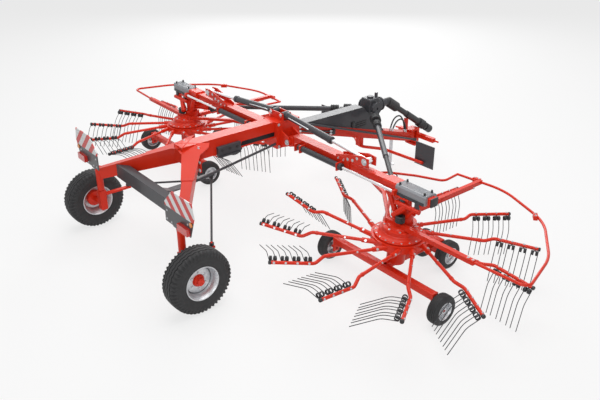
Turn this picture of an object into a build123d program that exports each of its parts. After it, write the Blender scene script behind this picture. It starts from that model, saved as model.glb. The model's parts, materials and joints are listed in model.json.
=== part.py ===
from build123d import *
from math import radians, tan
import os

# Twin rotor hay rake in its working position, standing on its wheels and its parking stand.
# Millimetres. X to the machine's right, Y forward, Z up, origin on the ground.
# The right half is modelled, and the left half is its mirror image.

# Running clearances
RUN_GAP = 0.3
MOVE_GAP = 6.0

# Rear wheels and their steering
REAR_AXLE_Y = -2587.0
REAR_WHEEL_X = 1372.0
REAR_HUB_IN = 36.0  # the rim's hub face, inwards from the tyre's middle
REAR_TYRE_R = 408.0
REAR_TYRE_W = 280.0
REAR_RIM_R = 205.0
KINGPIN_X = 1080.0
KINGPIN_R = 46.0
KINGPIN_Z = (640.0, 985.0)
KINGPIN_CORE_R = 24.0
KNUCKLE_W = 92.0
STUB_R = 34.0
STEER_ARM = 400.0
STEER_BALL_Z = 600.0
STEER_EYE_R = 30.0
STEER_PIN_R = 14.0
TIE_ROD_R = 14.0
TIE_EYE_H = 30.0

# Main frame
BEAM_W = 200.0
BEAM_Z = (1235.0, 1466.0)
BEAM_REAR_Y = -1940.0
NODE_X = 150.0
NODE_Y = (-470.0, -60.0)
NODE_Z = (1080.0, 1466.0)
DRAWBAR_W = 180.0
DRAWBAR_H = 150.0
DRAWBAR_REF_Y = 586.0
DRAWBAR_REF_TOP = 1150.0
DRAWBAR_FALL = 0.304
DRAWBAR_END_Y = 2440.0

# Rear fork
FORK_TOP = (60.0, -1760.0, 1335.0)
FORK_FOOT = (1050.0, -2562.0, 905.0)
FORK_TOP_SECTION = (150.0, 225.0)
FORK_FOOT_SECTION = (115.0, 150.0)
CROSSBAR_Y = -2384.0
CROSSBAR_Z = (885.0, 1075.0)
CROSSBAR_DEPTH = 120.0
FLANGE_X = 185.0
FLANGE_Y = (-1742.0, -1718.0)
FLANGE_Z = (1090.0, 1450.0)

# Steering relay under the beam
RELAY_Y = -1874.0
RELAY_PLATE_Z = (915.0, 945.0)
RELAY_SIDE_ARM = 150.0
RELAY_POST_R = 30.0
RELAY_HUB_R = 58.0
RELAY_FOOT = 18.0  # height of the collar under the relay's hub
RELAY_HUB_SPARE = 15.0  # the hub above and below its plate
BRACE_W = 120.0
BRACE_T = 18.0
BRACE_BEND = (-2110.0, 890.0)
BRACE_END_Z = 975.0
STEER_ROD_R = 17.0
REAR_ROD_NODE = (120.0, NODE_Y[0], 1150.0)
FRONT_ROD_NODE = (112.0, NODE_Y[1], 1372.0)
ROD_INSIDE = 150.0
ROD_BORE_SPARE = 130.0

# Headstock
HEAD_PIVOT_Y = 2480.0
HEAD_BOSS_R = 70.0
HEAD_BOSS_Z = (430.0, 600.0)
HEAD_PIN_R = 30.0
HEAD_PLATE_T = 30.0
HEAD_PLATE_W = 160.0
HEAD_BAR_Y = 2640.0
HEAD_BAR_Z = 490.0
HEAD_BAR_SIZE = 70.0
HEAD_BAR_HALF = 390.0
LINK_PIN_R = 14.0
LINK_PIN_LENGTH = 90.0
HEAD_LEVER_X = 150.0
HEAD_LEVER_Y = 2430.0
HEAD_EYE_RISE = 62.0  # the rod's eye above the boss's foot, to clear the lever as it slides down

# Parking stand
STAND_X = -165.0
STAND_Y = 2200.0
STAND_PIVOT_Z = 590.0
STAND_TUBE_R = 30.0
STAND_FOOT = 110.0
STAND_FOOT_T = 20.0

# Drive line
COVER_TOP_Y = 1256.0
COVER_TOP_Z = 1300.0
COVER_TIP_Y = 1736.0
COVER_REAR_Y = 60.0
GEARBOX_Y = (1385.0, 1590.0)
GEARBOX_Z = (1170.0, 1385.0)
GEARBOX_HALF_W = 105.0
PTO_REAR = (0.0, 1876.0, 1240.0)
PTO_FRONT = (0.0, 2970.0, 500.0)
PTO_TUBE_R = 45.0
PTO_SLEEVE_R = 55.0
PTO_CONE_R = 67.0
PTO_FACE_Y = 1816.0
PTO_REST_Y = 2350.0
YOKE_BORE_R = 17.5
YOKE_BORE_L = 110.0
SHAFT_JOINT = (240.0, 1361.0, 1159.0)
SHAFT_TUBE_R = 40.0
SHAFT_INNER_R = 32.0
SHAFT_END_R = 52.0
SHAFT_BOOT_R = 70.0
SHAFT_SWING = 190.0
SHAFT_FORK_Z = 24.0

# Lift arms
HINGE_X = 310.0
HINGE_Z = 1215.0
HINGE_PIN_R = 35.0
HINGE_BOSS_R = 72.0
ARM_Z = 1240.0
ARM_SIZE = 150.0
ARM_START_X = 375.0
ARM_END_X = 1500.0
SLIDE_W = 112.0
SLIDE_H = 102.0
SLIDE_GAP = 0.5
SLIDE_START_X = 1290.0
SLIDE_BORE_X = 820.0
EAR_T = 25.0
EAR_OFFSET = 105.0
LUG_T = 12.0
LUG_INNER_Y = 58.0
LIFT_BASE = (110.0, 1540.0)
LIFT_EYE = (1770.0, 1395.0)
LIFT_BARREL_R = 46.0
LIFT_BARREL_L = 980.0
LIFT_ROD_R = 24.0
LIFT_EYE_R = 42.0
LIFT_PIN_R = 20.0
WIDTH_CYL_Y = -122.0
WIDTH_CYL_Z = 1222.0
WIDTH_CYL_R = 40.0
WIDTH_CYL_X = (560.0, 1420.0)
WIDTH_ROD_R = 20.0
WIDTH_ROD_END_X = 2330.0
WIDTH_TRAVEL = 450.0

# Rotors
ROTOR_X = 2414.0
ROTOR_Y = -284.0
HUB_CENTRE = (2438.0, -387.0, 650.0)  # where the rotor's axis meets the plane of its arms
HUB_LEAN_X = -1.0  # the axis leans forwards
HUB_LEAN_Y = 2.8  # and outwards, so the front outer tines rake lowest
ARM_COUNT = 12
FIRST_ARM_DEG = 158.4
ARM_OFFSET = 198.0
TINE_ARM_R = 21.0
SOCKET_R = 31.0
SOCKET_START = 150.0
SOCKET_END = 420.0
KINK_START = 1025.0
KINK_END = 1142.0
KINK_SHIFT = 70.0
KINK_FILLET = 90.0
KINK_DEG = 81.0  # from the tines' back to the side that the kink bends to, about the arm
BAR_LEAN_DEG = 9.0  # the bar outside the kink, back towards the arm's line
ARM_TIP = 1676.0
HUB_R = 335.0
HUB_HALF = 45.0
POST_R = 60.0
POST_FOOT_R = 115.0
# Steps of the cam housing over the hub: radius, bottom and top above the arms' plane
HOUSING = ((450.0, 51.0, 75.0), (360.0, 75.0, 105.0), (270.0, 105.0, 140.0))
CAST_R = 116.0
CAST_Z = (760.0, 930.0)
COLUMN_R = 85.0
COLUMN_TOP_PLATE = 24.0
CLAMP_X = (-300.0, 160.0)
CLAMP_HALF_Y = 92.0
CLAMP_RISE = 18.0
ARM_END_OUT = 230.0
TINE_X = (1216.0, 1353.0, 1490.0, 1627.0)
TINE_WIRE_R = 5.0
TINE_HALF_PITCH = 38.0
COIL_R = 31.0
COIL_BORE_R = 19.0
COIL_LENGTH = 42.0
COIL_DROP = 54.0
# The legs of a double tine, below the bar: trailing distance, drop
TINE_KNEE = (93.0, 192.0)
TINE_TIP = (102.0, 553.0)
# Turn of each arm about its own axis, from tines down to tines trailing flat, in arm order
ARM_TURN_DEG = (5.0, 32.0, 65.0, 69.0, 71.0, 59.0, 25.0, 3.0, 0.0, 0.0, 0.0, 0.0)

# Rotor undercarriage, in the rotor's own frame
AXLE_Y = -330.0
AXLE_WHEEL_X = 940.0
FRONT_WHEEL_Y = 660.0
FRONT_WHEEL_X = 195.0
ROTOR_TYRE_R = 190.0
ROTOR_TYRE_W = 150.0
ROTOR_RIM_R = 105.0
ROTOR_STUB_R = 18.0
AXLE_BEAM = 90.0
AXLE_BEAM_Z = (265.0, 350.0)
DROP_T = 30.0

# Rotor guard, in the rotor's own frame
GUARD_Z = 846.0
GUARD_BEAM = 56.0
HOOP_R = 17.0
GUARD_SIDE_Y = -150.0
GUARD_SIDE_X = (-150.0, 1120.0)
GUARD_FRONT_X = -80.0
GUARD_FRONT_Y = (70.0, 1585.0)
GUARD_PLATE_R = 160.0
# Corners of the round hoop, from the side beam's end to the front beam and past it: x, y, corner radius
HOOP = (
    (1100.0, -150.0, 0.0),
    (1840.0, -110.0, 90.0),
    (1640.0, 560.0, 900.0),
    (1120.0, 1250.0, 900.0),
    (290.0, 1600.0, 900.0),
    (-430.0, 1530.0, 0.0),
)
# Corners of the inner tail of the guard: x, y, corner radius
TAIL = (
    (-430.0, 1530.0, 0.0),
    (-400.0, 1215.0, 110.0),
    (-760.0, 1050.0, 500.0),
    (-1085.0, 830.0, 260.0),
    (-1235.0, 560.0, 0.0),
)
INNER_BAR = ((-150.0, -110.0), (-660.0, 330.0), (-1235.0, 560.0))

# Boards
BOARD_T = 12.0
REAR_BOARD_Y = -2650.0
REAR_BOARD_CORNER = (890.0, 1010.0)
# Outline of a rear board from its inner lower corner: outwards, up
REAR_BOARD = ((0.0, 0.0), (540.0, 0.0), (640.0, 270.0), (600.0, 440.0), (190.0, 440.0), (0.0, 250.0))
BOARD_SHELF_HALF = 45.0
LAMP_OUT = (330.0, 540.0)
LAMP_UP = (20.0, 110.0)
LAMP_DEPTH = 45.0
FRONT_BOARD_Y = 1600.0
FRONT_BOARD_X = (905.0, 1265.0)
FRONT_BOARD_Z = (560.0, 915.0)
BOARD_TUBE_R = 24.0
BOARD_TUBE_Z = 620.0
BOARD_TUBE_Y = 1290.0


def block(x, y, z):
    """A box between two values on each axis."""
    middle = [(low + high) / 2 for low, high in (x, y, z)]
    return Pos(*middle) * Box(x[1] - x[0], y[1] - y[0], z[1] - z[0])


def rod(start, end, radius):
    """A round bar between two points."""
    start, end = Vector(*start), Vector(*end)
    run = end - start
    bar = Cylinder(radius, run.length, align=(Align.CENTER, Align.CENTER, Align.MIN))
    return Plane(origin=start, z_dir=run) * bar


def tube(start, end, outer, inner):
    return rod(start, end, outer) - rod(start, end, inner)


def beam(start, end, width, height):
    """A rectangular bar between two points, its width level."""
    start, end = Vector(*start), Vector(*end)
    run = end - start
    bar = Box(width, height, run.length, align=(Align.CENTER, Align.CENTER, Align.MIN))
    return Plane(origin=start, x_dir=run.cross(Vector(0, 0, 1)), z_dir=run) * bar


def plate_x(points, x):
    """A plate with an outline in Y and Z between two X values."""
    plane = Plane(origin=(x[0], 0, 0), x_dir=(0, 1, 0), z_dir=(1, 0, 0))
    return extrude(plane * Polygon(*points, align=None), x[1] - x[0], dir=(1, 0, 0))


def plate_y(points, y):
    """A plate with an outline in X and Z between two Y values."""
    plane = Plane(origin=(0, y[1], 0), x_dir=(1, 0, 0), z_dir=(0, -1, 0))
    return extrude(plane * Polygon(*points, align=None), y[1] - y[0], dir=(0, -1, 0))


def pipe(points, radii, radius):
    """A round tube, as a solid bar, along straight runs joined by arcs."""
    path = FilletPolyline(*points, radius=list(radii)) if len(points) > 2 else Line(*points)
    start = Plane(origin=path @ 0, z_dir=path % 0)
    return sweep(start * Circle(radius), path)


def turned(profile):
    """A solid of revolution about X from points of X and radius."""
    return revolve(make_face(Polyline(*profile, close=True)), Axis.X)


def drawbar_top(y):
    return DRAWBAR_REF_TOP - DRAWBAR_FALL * (y - DRAWBAR_REF_Y)


def mirrored(shape):
    return mirror(shape, about=Plane.YZ)


def both(shape):
    """A shape and its mirror image as two solids of one node."""
    return Compound([shape.solid(), mirrored(shape).solid()])


# Main frame

def rear_beam():
    """The rear beam with the relay's post, its collar and the brace from there to the crossbar."""
    half = BEAM_W / 2
    collar_top = RELAY_PLATE_Z[0] - RELAY_HUB_SPARE - RUN_GAP
    foot = collar_top - RELAY_FOOT
    post = rod((0, RELAY_Y, BEAM_Z[0]), (0, RELAY_Y, foot), RELAY_POST_R)
    collar = rod((0, RELAY_Y, collar_top), (0, RELAY_Y, foot), RELAY_HUB_R)
    start = (0, RELAY_Y, foot + BRACE_T / 2)
    bend = (0, *BRACE_BEND)
    end = (0, CROSSBAR_Y + CROSSBAR_DEPTH / 2 - RUN_GAP, BRACE_END_Z)
    brace = beam(start, bend, BRACE_W, BRACE_T) + beam(bend, end, BRACE_W, BRACE_T)
    brace += rod((-BRACE_W / 2, *BRACE_BEND), (BRACE_W / 2, *BRACE_BEND), BRACE_T / 2)
    brace -= rear_crossbar_block()
    return block((-half, half), (BEAM_REAR_Y, NODE_Y[0]), BEAM_Z) + post + collar + brace


def steering_axis(start, end):
    return (Vector(*end) - Vector(*start)).normalized()


def rod_bore(node_point, far_point):
    """The blind bore in the hinge frame that takes the end of a steering rod."""
    axis = steering_axis(far_point, node_point)
    deep = Vector(*node_point) + axis * (ROD_INSIDE + ROD_BORE_SPARE)
    mouth = Vector(*node_point) - axis * ROD_BORE_SPARE
    return rod(mouth, deep, STEER_ROD_R + RUN_GAP)


def rear_rod_eye():
    return (RELAY_SIDE_ARM, RELAY_Y, RELAY_PLATE_Z[1] + MOVE_GAP + 20)


def front_rod_eye():
    return (HEAD_LEVER_X, HEAD_LEVER_Y, HEAD_BOSS_Z[0] + HEAD_EYE_RISE)


def hinge_frame():
    """The centre box with the ears that carry both lift arms and the lift cylinders' mast."""
    frame = block((-NODE_X, NODE_X), NODE_Y, NODE_Z)
    mast = [(-150, NODE_Z[1]), (150, NODE_Z[1]), (150, LIFT_BASE[1] + 30), (-150, LIFT_BASE[1] + 30)]
    for side in (-1, 1):
        for offset in (-EAR_OFFSET, EAR_OFFSET):
            y = ROTOR_Y + offset
            ear = [(side * NODE_X, HINGE_Z - 130), (side * HINGE_X, HINGE_Z - 62),
                   (side * (HINGE_X + 50), HINGE_Z), (side * HINGE_X, HINGE_Z + 62),
                   (side * NODE_X, HINGE_Z + 130)]
            frame += plate_y(ear, (y - EAR_T / 2, y + EAR_T / 2))
        ends = ROTOR_Y - EAR_OFFSET - EAR_T, ROTOR_Y + EAR_OFFSET + EAR_T
        frame += rod((side * HINGE_X, ends[0], HINGE_Z), (side * HINGE_X, ends[1], HINGE_Z), HINGE_PIN_R)
        plate = ROTOR_Y + side * LUG_INNER_Y
        frame += plate_y(mast, (min(plate, plate + side * LUG_T), max(plate, plate + side * LUG_T)))
        pin_half = LUG_INNER_Y + LUG_T + 12
        frame += rod((side * LIFT_BASE[0], ROTOR_Y - pin_half, LIFT_BASE[1]),
                     (side * LIFT_BASE[0], ROTOR_Y + pin_half, LIFT_BASE[1]), LIFT_PIN_R)
    frame -= rod_bore(REAR_ROD_NODE, rear_rod_eye())
    frame -= rod_bore(FRONT_ROD_NODE, front_rod_eye())
    return frame


def drawbar():
    half = DRAWBAR_W / 2
    rear, front = NODE_Y[1], DRAWBAR_END_Y
    outline = [(rear, drawbar_top(rear)), (front, drawbar_top(front)),
               (front, drawbar_top(front) - DRAWBAR_H), (rear, drawbar_top(rear) - DRAWBAR_H)]
    bar = plate_x(outline, (-half, half))
    boss = rod((0, HEAD_PIVOT_Y, HEAD_BOSS_Z[0]), (0, HEAD_PIVOT_Y, HEAD_BOSS_Z[1]), HEAD_BOSS_R)
    bore = rod((0, HEAD_PIVOT_Y, HEAD_BOSS_Z[0] - 1), (0, HEAD_PIVOT_Y, HEAD_BOSS_Z[1] + 1),
               HEAD_PIN_R + RUN_GAP)
    stand_pin = rod((0, STAND_Y, STAND_PIVOT_Z), (STAND_X - 45, STAND_Y, STAND_PIVOT_Z), STEER_PIN_R)
    hanger = block((-40, 40), (BOARD_TUBE_Y - 45, BOARD_TUBE_Y + 45),
                   (BOARD_TUBE_Z + BOARD_TUBE_R, drawbar_top(BOARD_TUBE_Y) - DRAWBAR_H / 2))
    rest_y = PTO_REST_Y - 15, PTO_REST_Y + 15
    slope = (Vector(*PTO_FRONT) - Vector(*PTO_REAR)).length / (PTO_FRONT[1] - PTO_REAR[1])
    rest_top = pto_z(rest_y[1]) - PTO_SLEEVE_R * slope - RUN_GAP
    rest = block((-35, 35), rest_y, (drawbar_top(PTO_REST_Y) - 40, rest_top))
    return bar + boss - bore + stand_pin + hanger + rest


def fork_leg():
    start, end = Vector(*FORK_TOP), Vector(*FORK_FOOT)
    run = end - start
    side = run.cross(Vector(0, 0, 1))
    top = Plane(origin=start, x_dir=side, z_dir=run) * Rectangle(*FORK_TOP_SECTION)
    foot = Plane(origin=end, x_dir=side, z_dir=run) * Rectangle(*FORK_FOOT_SECTION)
    half = BEAM_W / 2
    leg = loft([top, foot]) - block((-half, half), (BEAM_REAR_Y, NODE_Y[0]), BEAM_Z)
    leg += block((0, FLANGE_X), FLANGE_Y, FLANGE_Z) - block((-half, half), (BEAM_REAR_Y, NODE_Y[0]), BEAM_Z)
    leg = split(leg, bisect_by=Plane.YZ, keep=Keep.TOP)
    leg += rod((KINGPIN_X, REAR_AXLE_Y, KINGPIN_Z[0]), (KINGPIN_X, REAR_AXLE_Y, KINGPIN_Z[1]), KINGPIN_R)
    core = rod((KINGPIN_X, REAR_AXLE_Y, KINGPIN_Z[0] - 1), (KINGPIN_X, REAR_AXLE_Y, KINGPIN_Z[0] + 200),
               KINGPIN_CORE_R + RUN_GAP)
    return leg - core


def rear_crossbar_block():
    half = CROSSBAR_DEPTH / 2
    share = (CROSSBAR_Y - FORK_TOP[1]) / (FORK_FOOT[1] - FORK_TOP[1])
    reach = FORK_TOP[0] + share * (FORK_FOOT[0] - FORK_TOP[0])
    return block((-reach, reach), (CROSSBAR_Y - half, CROSSBAR_Y + half), CROSSBAR_Z)


def rear_crossbar():
    """The bar between the fork's legs, cut to their sides."""
    leg = fork_leg()
    cut = rear_crossbar_block() - leg - mirrored(leg)
    return max(cut.solids(), key=lambda piece: piece.volume)


# Rear steering

def knuckle():
    half = KNUCKLE_W / 2
    top = KINGPIN_Z[0] - MOVE_GAP
    body = block((KINGPIN_X - half, KINGPIN_X + half), (REAR_AXLE_Y - half, REAR_AXLE_Y + half),
                 (REAR_TYRE_R - 60, top))
    body += rod((KINGPIN_X, REAR_AXLE_Y, top - 5), (KINGPIN_X, REAR_AXLE_Y, KINGPIN_Z[0] + 190), KINGPIN_CORE_R)
    body += rod((KINGPIN_X, REAR_AXLE_Y, REAR_TYRE_R), (REAR_WHEEL_X - REAR_HUB_IN, REAR_AXLE_Y, REAR_TYRE_R), STUB_R)
    arm_top = STEER_BALL_Z - 20 - MOVE_GAP
    body += block((KINGPIN_X - 30, KINGPIN_X + 30), (REAR_AXLE_Y + half - 5, REAR_AXLE_Y + STEER_ARM + 32),
                  (arm_top - 26, arm_top))
    body += rod((KINGPIN_X, REAR_AXLE_Y + STEER_ARM, arm_top - 5),
                (KINGPIN_X, REAR_AXLE_Y + STEER_ARM, STEER_BALL_Z + 24), STEER_PIN_R)
    return body


def rear_wheel():
    """Tyre and rim of the right rear wheel."""
    half = REAR_TYRE_W / 2
    tyre = turned([(-half, REAR_TYRE_R - 60), (-half + 45, REAR_TYRE_R), (half - 45, REAR_TYRE_R),
                   (half, REAR_TYRE_R - 60), (half, REAR_TYRE_R - 120), (half - 22, REAR_RIM_R),
                   (-half + 22, REAR_RIM_R), (-half, REAR_TYRE_R - 120)])
    rim = turned([(-half + 18, REAR_RIM_R - RUN_GAP), (half - 18, REAR_RIM_R - RUN_GAP),
                  (half - 18, REAR_RIM_R - 18), (40, REAR_RIM_R - 34), (40, 78), (70, 70), (70, 0.0),
                  (RUN_GAP - REAR_HUB_IN, 0.0), (RUN_GAP - REAR_HUB_IN, 78), (24, 84),
                  (24, REAR_RIM_R - 40), (-half + 18, REAR_RIM_R - 20)])
    place = Pos(REAR_WHEEL_X, REAR_AXLE_Y, REAR_TYRE_R)
    return place * tyre, place * rim


def relay_lever():
    low, high = RELAY_PLATE_Z
    spare = RELAY_HUB_SPARE
    hub = tube((0, RELAY_Y, low - spare), (0, RELAY_Y, high + spare), RELAY_HUB_R, RELAY_POST_R + RUN_GAP)
    arm = block((-32, 32), (RELAY_Y + RELAY_HUB_R - 12, RELAY_Y + STEER_ARM + 34), RELAY_PLATE_Z)
    side = block((RELAY_HUB_R - 12, RELAY_SIDE_ARM + 32), (RELAY_Y - 30, RELAY_Y + 30), RELAY_PLATE_Z)
    pin_low = low - 3 * MOVE_GAP - 2 * TIE_EYE_H - 8
    pin = rod((0, RELAY_Y + STEER_ARM, pin_low), (0, RELAY_Y + STEER_ARM, high + 12), STEER_PIN_R)
    return hub + arm + side + pin


def tie_rod(side, relay_z):
    """A rod from the relay lever's front pin to a knuckle arm's pin."""
    inner = Vector(0, RELAY_Y + STEER_ARM, relay_z)
    outer = Vector(side * KINGPIN_X, REAR_AXLE_Y + STEER_ARM, STEER_BALL_Z)
    shank = rod(inner, outer, TIE_ROD_R)
    bar = shank
    for point in (inner, outer):
        rise = Vector(0, 0, TIE_EYE_H / 2)
        bar += rod(point - rise, point + rise, STEER_EYE_R)
    for point in (inner, outer):
        low, high = point - Vector(0, 0, 60), point + Vector(0, 0, 60)
        bar -= rod(low, high, STEER_PIN_R + RUN_GAP)
    return max(bar.solids(), key=lambda piece: piece.volume)


def steering_rod(eye, node_point):
    axis = steering_axis(eye, node_point)
    end = Vector(*node_point) + axis * ROD_INSIDE
    ball = Vector(*eye)
    ring = rod(ball - Vector(0, 0, 18), ball + Vector(0, 0, 18), STEER_EYE_R)
    return rod(eye, end, STEER_ROD_R) + ring


# Hitch end

def headstock():
    low, high = HEAD_BOSS_Z
    gap = MOVE_GAP
    half = HEAD_PLATE_W / 2
    front = HEAD_BAR_Y - HEAD_BAR_SIZE / 2
    head = block((-half, half), (HEAD_PIVOT_Y + HEAD_BOSS_R + 10, front + 5),
                 (low - gap - HEAD_PLATE_T, high + gap + HEAD_PLATE_T))
    for z in (low - gap - HEAD_PLATE_T, high + gap):
        head += block((-half, half), (HEAD_PIVOT_Y, front), (z, z + HEAD_PLATE_T))
        head += rod((0, HEAD_PIVOT_Y, z), (0, HEAD_PIVOT_Y, z + HEAD_PLATE_T), half)
    head += rod((0, HEAD_PIVOT_Y, low - gap - 5), (0, HEAD_PIVOT_Y, high + gap + 5), HEAD_PIN_R)
    size = HEAD_BAR_SIZE / 2
    head += block((-HEAD_BAR_HALF, HEAD_BAR_HALF), (HEAD_BAR_Y - size, HEAD_BAR_Y + size),
                  (HEAD_BAR_Z - size, HEAD_BAR_Z + size))
    for side in (-1, 1):
        head += rod((side * HEAD_BAR_HALF, HEAD_BAR_Y, HEAD_BAR_Z),
                    (side * (HEAD_BAR_HALF + LINK_PIN_LENGTH), HEAD_BAR_Y, HEAD_BAR_Z), LINK_PIN_R)
    lever_z = low - gap - HEAD_PLATE_T
    head += block((half - 40, HEAD_LEVER_X + 34), (HEAD_LEVER_Y - 34, HEAD_LEVER_Y + 60),
                  (lever_z, lever_z + HEAD_PLATE_T))
    return head


def parking_stand():
    collar = tube((STAND_X - 32, STAND_Y, STAND_PIVOT_Z), (STAND_X + 32, STAND_Y, STAND_PIVOT_Z),
                  38, STEER_PIN_R + RUN_GAP)
    leg = rod((STAND_X, STAND_Y, STAND_FOOT_T - 2), (STAND_X, STAND_Y, STAND_PIVOT_Z - 30), STAND_TUBE_R)
    half = STAND_FOOT / 2
    foot = block((STAND_X - half, STAND_X + half), (STAND_Y - half, STAND_Y + half), (0, STAND_FOOT_T))
    return collar + leg + foot


# Drive line on the frame

def pto_z(y):
    share = (y - PTO_REAR[1]) / (PTO_FRONT[1] - PTO_REAR[1])
    return PTO_REAR[2] + share * (PTO_FRONT[2] - PTO_REAR[2])


def gearbox_cover():
    half = DRAWBAR_W / 2 - 2
    outline = [(COVER_REAR_Y, drawbar_top(COVER_REAR_Y)), (COVER_REAR_Y, COVER_TOP_Z + 18),
               (COVER_TOP_Y, COVER_TOP_Z), (COVER_TIP_Y, drawbar_top(COVER_TIP_Y) + 12),
               (COVER_TIP_Y, drawbar_top(COVER_TIP_Y))]
    return plate_x(outline, (-half, half))


def cover_front_y(z):
    """Where the sloping front of the cover stands at a height."""
    tip_z = drawbar_top(COVER_TIP_Y) + 12
    return COVER_TOP_Y + (COVER_TOP_Z - z) / (COVER_TOP_Z - tip_z) * (COVER_TIP_Y - COVER_TOP_Y)


def central_gearbox():
    low, high = GEARBOX_Z
    foot_y = GEARBOX_Y[1] + 40
    tip_z = drawbar_top(COVER_TIP_Y) + 12
    share = (foot_y - COVER_TOP_Y) / (COVER_TIP_Y - COVER_TOP_Y)
    foot_z = COVER_TOP_Z - share * (COVER_TOP_Z - tip_z)
    wedge = plate_x([(cover_front_y(low), low), (foot_y, foot_z), (foot_y, low)], (-70, 70))
    box = block((-GEARBOX_HALF_W, GEARBOX_HALF_W), (cover_front_y(low), GEARBOX_Y[1]), GEARBOX_Z)
    box = fillet(box.edges(), 22)
    nose = rod((0, GEARBOX_Y[1] - 30, PTO_REAR[2]), (0, PTO_FACE_Y, PTO_REAR[2]), 62)
    joint = Vector(*SHAFT_JOINT)
    for side in (-1, 1):
        start = (side * (GEARBOX_HALF_W - 40), GEARBOX_Y[0] + 90, low + 55)
        ear = (side * joint.X, joint.Y + 58, joint.Z)
        nose += rod(start, ear, 28)
        nose += rod((side * joint.X, joint.Y - 30, joint.Z), ear, STEER_PIN_R)
    return wedge + box + nose


def pto_shaft():
    start, end = Vector(*PTO_REAR), Vector(*PTO_FRONT)
    run = (end - start).normalized()
    shaft = rod(start, end, PTO_TUBE_R)
    shaft += rod(start, start + run * 260, PTO_CONE_R)
    shaft += rod((0, PTO_FACE_Y - 60, PTO_REAR[2]), (0, PTO_REAR[1] + 40, PTO_REAR[2]), 60)
    shaft += rod(start + run * 560, end - run * 120, PTO_SLEEVE_R)
    shaft += rod(end - run * 150, end - run * 20, PTO_CONE_R)
    shaft -= block((-200, 200), (0, PTO_FACE_Y), (0, 2000))
    return shaft - rod(end - run * YOKE_BORE_L, end + run * 10, YOKE_BORE_R)


# Boards and lamps

def rear_board():
    x, z = REAR_BOARD_CORNER
    board = plate_y([(x + out, z + up) for out, up in REAR_BOARD], (REAR_BOARD_Y - BOARD_T, REAR_BOARD_Y))
    half = BOARD_SHELF_HALF
    shelf_z = KINGPIN_Z[1]
    width = KINGPIN_X - half, KINGPIN_X + half
    shelf = block(width, (REAR_BOARD_Y - 2, REAR_AXLE_Y - 20), (shelf_z, shelf_z + BOARD_T))
    web = block(width, (REAR_BOARD_Y, REAR_BOARD_Y + BOARD_T), (shelf_z, z + LAMP_UP[1]))
    return board + shelf + web


def tail_lamp():
    x, z = REAR_BOARD_CORNER
    y = REAR_BOARD_Y - BOARD_T
    return block((x + LAMP_OUT[0], x + LAMP_OUT[1]), (y - LAMP_DEPTH, y), (z + LAMP_UP[0], z + LAMP_UP[1]))


def front_board_tube():
    """The cross tube under the drawbar that carries both front boards."""
    x = (FRONT_BOARD_X[0] + FRONT_BOARD_X[1]) / 2
    bend = (330, BOARD_TUBE_Y + 215, BOARD_TUBE_Z)
    tip = (x, FRONT_BOARD_Y - BOARD_TUBE_R - BOARD_T, BOARD_TUBE_Z)
    points = [(-tip[0], tip[1], tip[2]), (-bend[0], bend[1], bend[2]), (0, BOARD_TUBE_Y, BOARD_TUBE_Z), bend, tip]
    return pipe(points, (150, 150, 150), BOARD_TUBE_R)


def front_board():
    return block(FRONT_BOARD_X, (FRONT_BOARD_Y - BOARD_T, FRONT_BOARD_Y), FRONT_BOARD_Z)


# Lift arm

def lift_arm():
    half = ARM_SIZE / 2
    arm = block((ARM_START_X, ARM_END_X), (ROTOR_Y - half, ROTOR_Y + half), (ARM_Z - half, ARM_Z + half))
    bore_y = SLIDE_W / 2 + SLIDE_GAP
    bore_z = SLIDE_H / 2 + SLIDE_GAP
    arm -= block((SLIDE_BORE_X, ARM_END_X + 1), (ROTOR_Y - bore_y, ROTOR_Y + bore_y),
                 (ARM_Z - bore_z, ARM_Z + bore_z))
    tongue = EAR_OFFSET - EAR_T / 2 - MOVE_GAP
    root = [(HINGE_X, HINGE_Z - HINGE_BOSS_R), (ARM_START_X + 10, ARM_Z - half),
            (ARM_START_X + 10, ARM_Z + half), (HINGE_X, HINGE_Z + HINGE_BOSS_R)]
    arm += plate_y(root, (ROTOR_Y - tongue, ROTOR_Y + tongue))
    arm += rod((HINGE_X, ROTOR_Y - tongue, HINGE_Z), (HINGE_X, ROTOR_Y + tongue, HINGE_Z), HINGE_BOSS_R)
    arm -= rod((HINGE_X, ROTOR_Y - tongue - 1, HINGE_Z), (HINGE_X, ROTOR_Y + tongue + 1, HINGE_Z),
               HINGE_PIN_R + RUN_GAP)
    top = ARM_Z + half
    lug = [(LIFT_EYE[0] - 520, top - 40), (ARM_END_X, top - 40), (ARM_END_X, top), (LIFT_EYE[0] + 70, top + 20),
           (LIFT_EYE[0] + 70, LIFT_EYE[1] + 55), (LIFT_EYE[0] - 60, LIFT_EYE[1] + 65), (LIFT_EYE[0] - 520, top + 25)]
    for side in (-1, 1):
        y = ROTOR_Y + side * LUG_INNER_Y, ROTOR_Y + side * (LUG_INNER_Y + LUG_T)
        arm += plate_y(lug, (min(y), max(y)))
    cylinder_y = ROTOR_Y + WIDTH_CYL_Y
    for x in (WIDTH_CYL_X[0] - 40, WIDTH_CYL_X[0] + 60, WIDTH_CYL_X[1] - 60):
        thick = 20
        arm += block((x, x + thick), (cylinder_y - WIDTH_CYL_R - 12, ROTOR_Y - half + 5),
                     (WIDTH_CYL_Z - WIDTH_CYL_R - 12, WIDTH_CYL_Z + WIDTH_CYL_R + 12))
    hole_end = WIDTH_CYL_X[1]
    arm -= rod((WIDTH_CYL_X[0], cylinder_y, WIDTH_CYL_Z), (hole_end, cylinder_y, WIDTH_CYL_Z), WIDTH_CYL_R)
    return arm


def width_barrel():
    y = ROTOR_Y + WIDTH_CYL_Y
    barrel = rod((WIDTH_CYL_X[0], y, WIDTH_CYL_Z), (WIDTH_CYL_X[1], y, WIDTH_CYL_Z), WIDTH_CYL_R)
    start = WIDTH_CYL_X[0] + 60
    return barrel - rod((start, y, WIDTH_CYL_Z), (WIDTH_CYL_X[1] + 1, y, WIDTH_CYL_Z), WIDTH_ROD_R + RUN_GAP)


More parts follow.
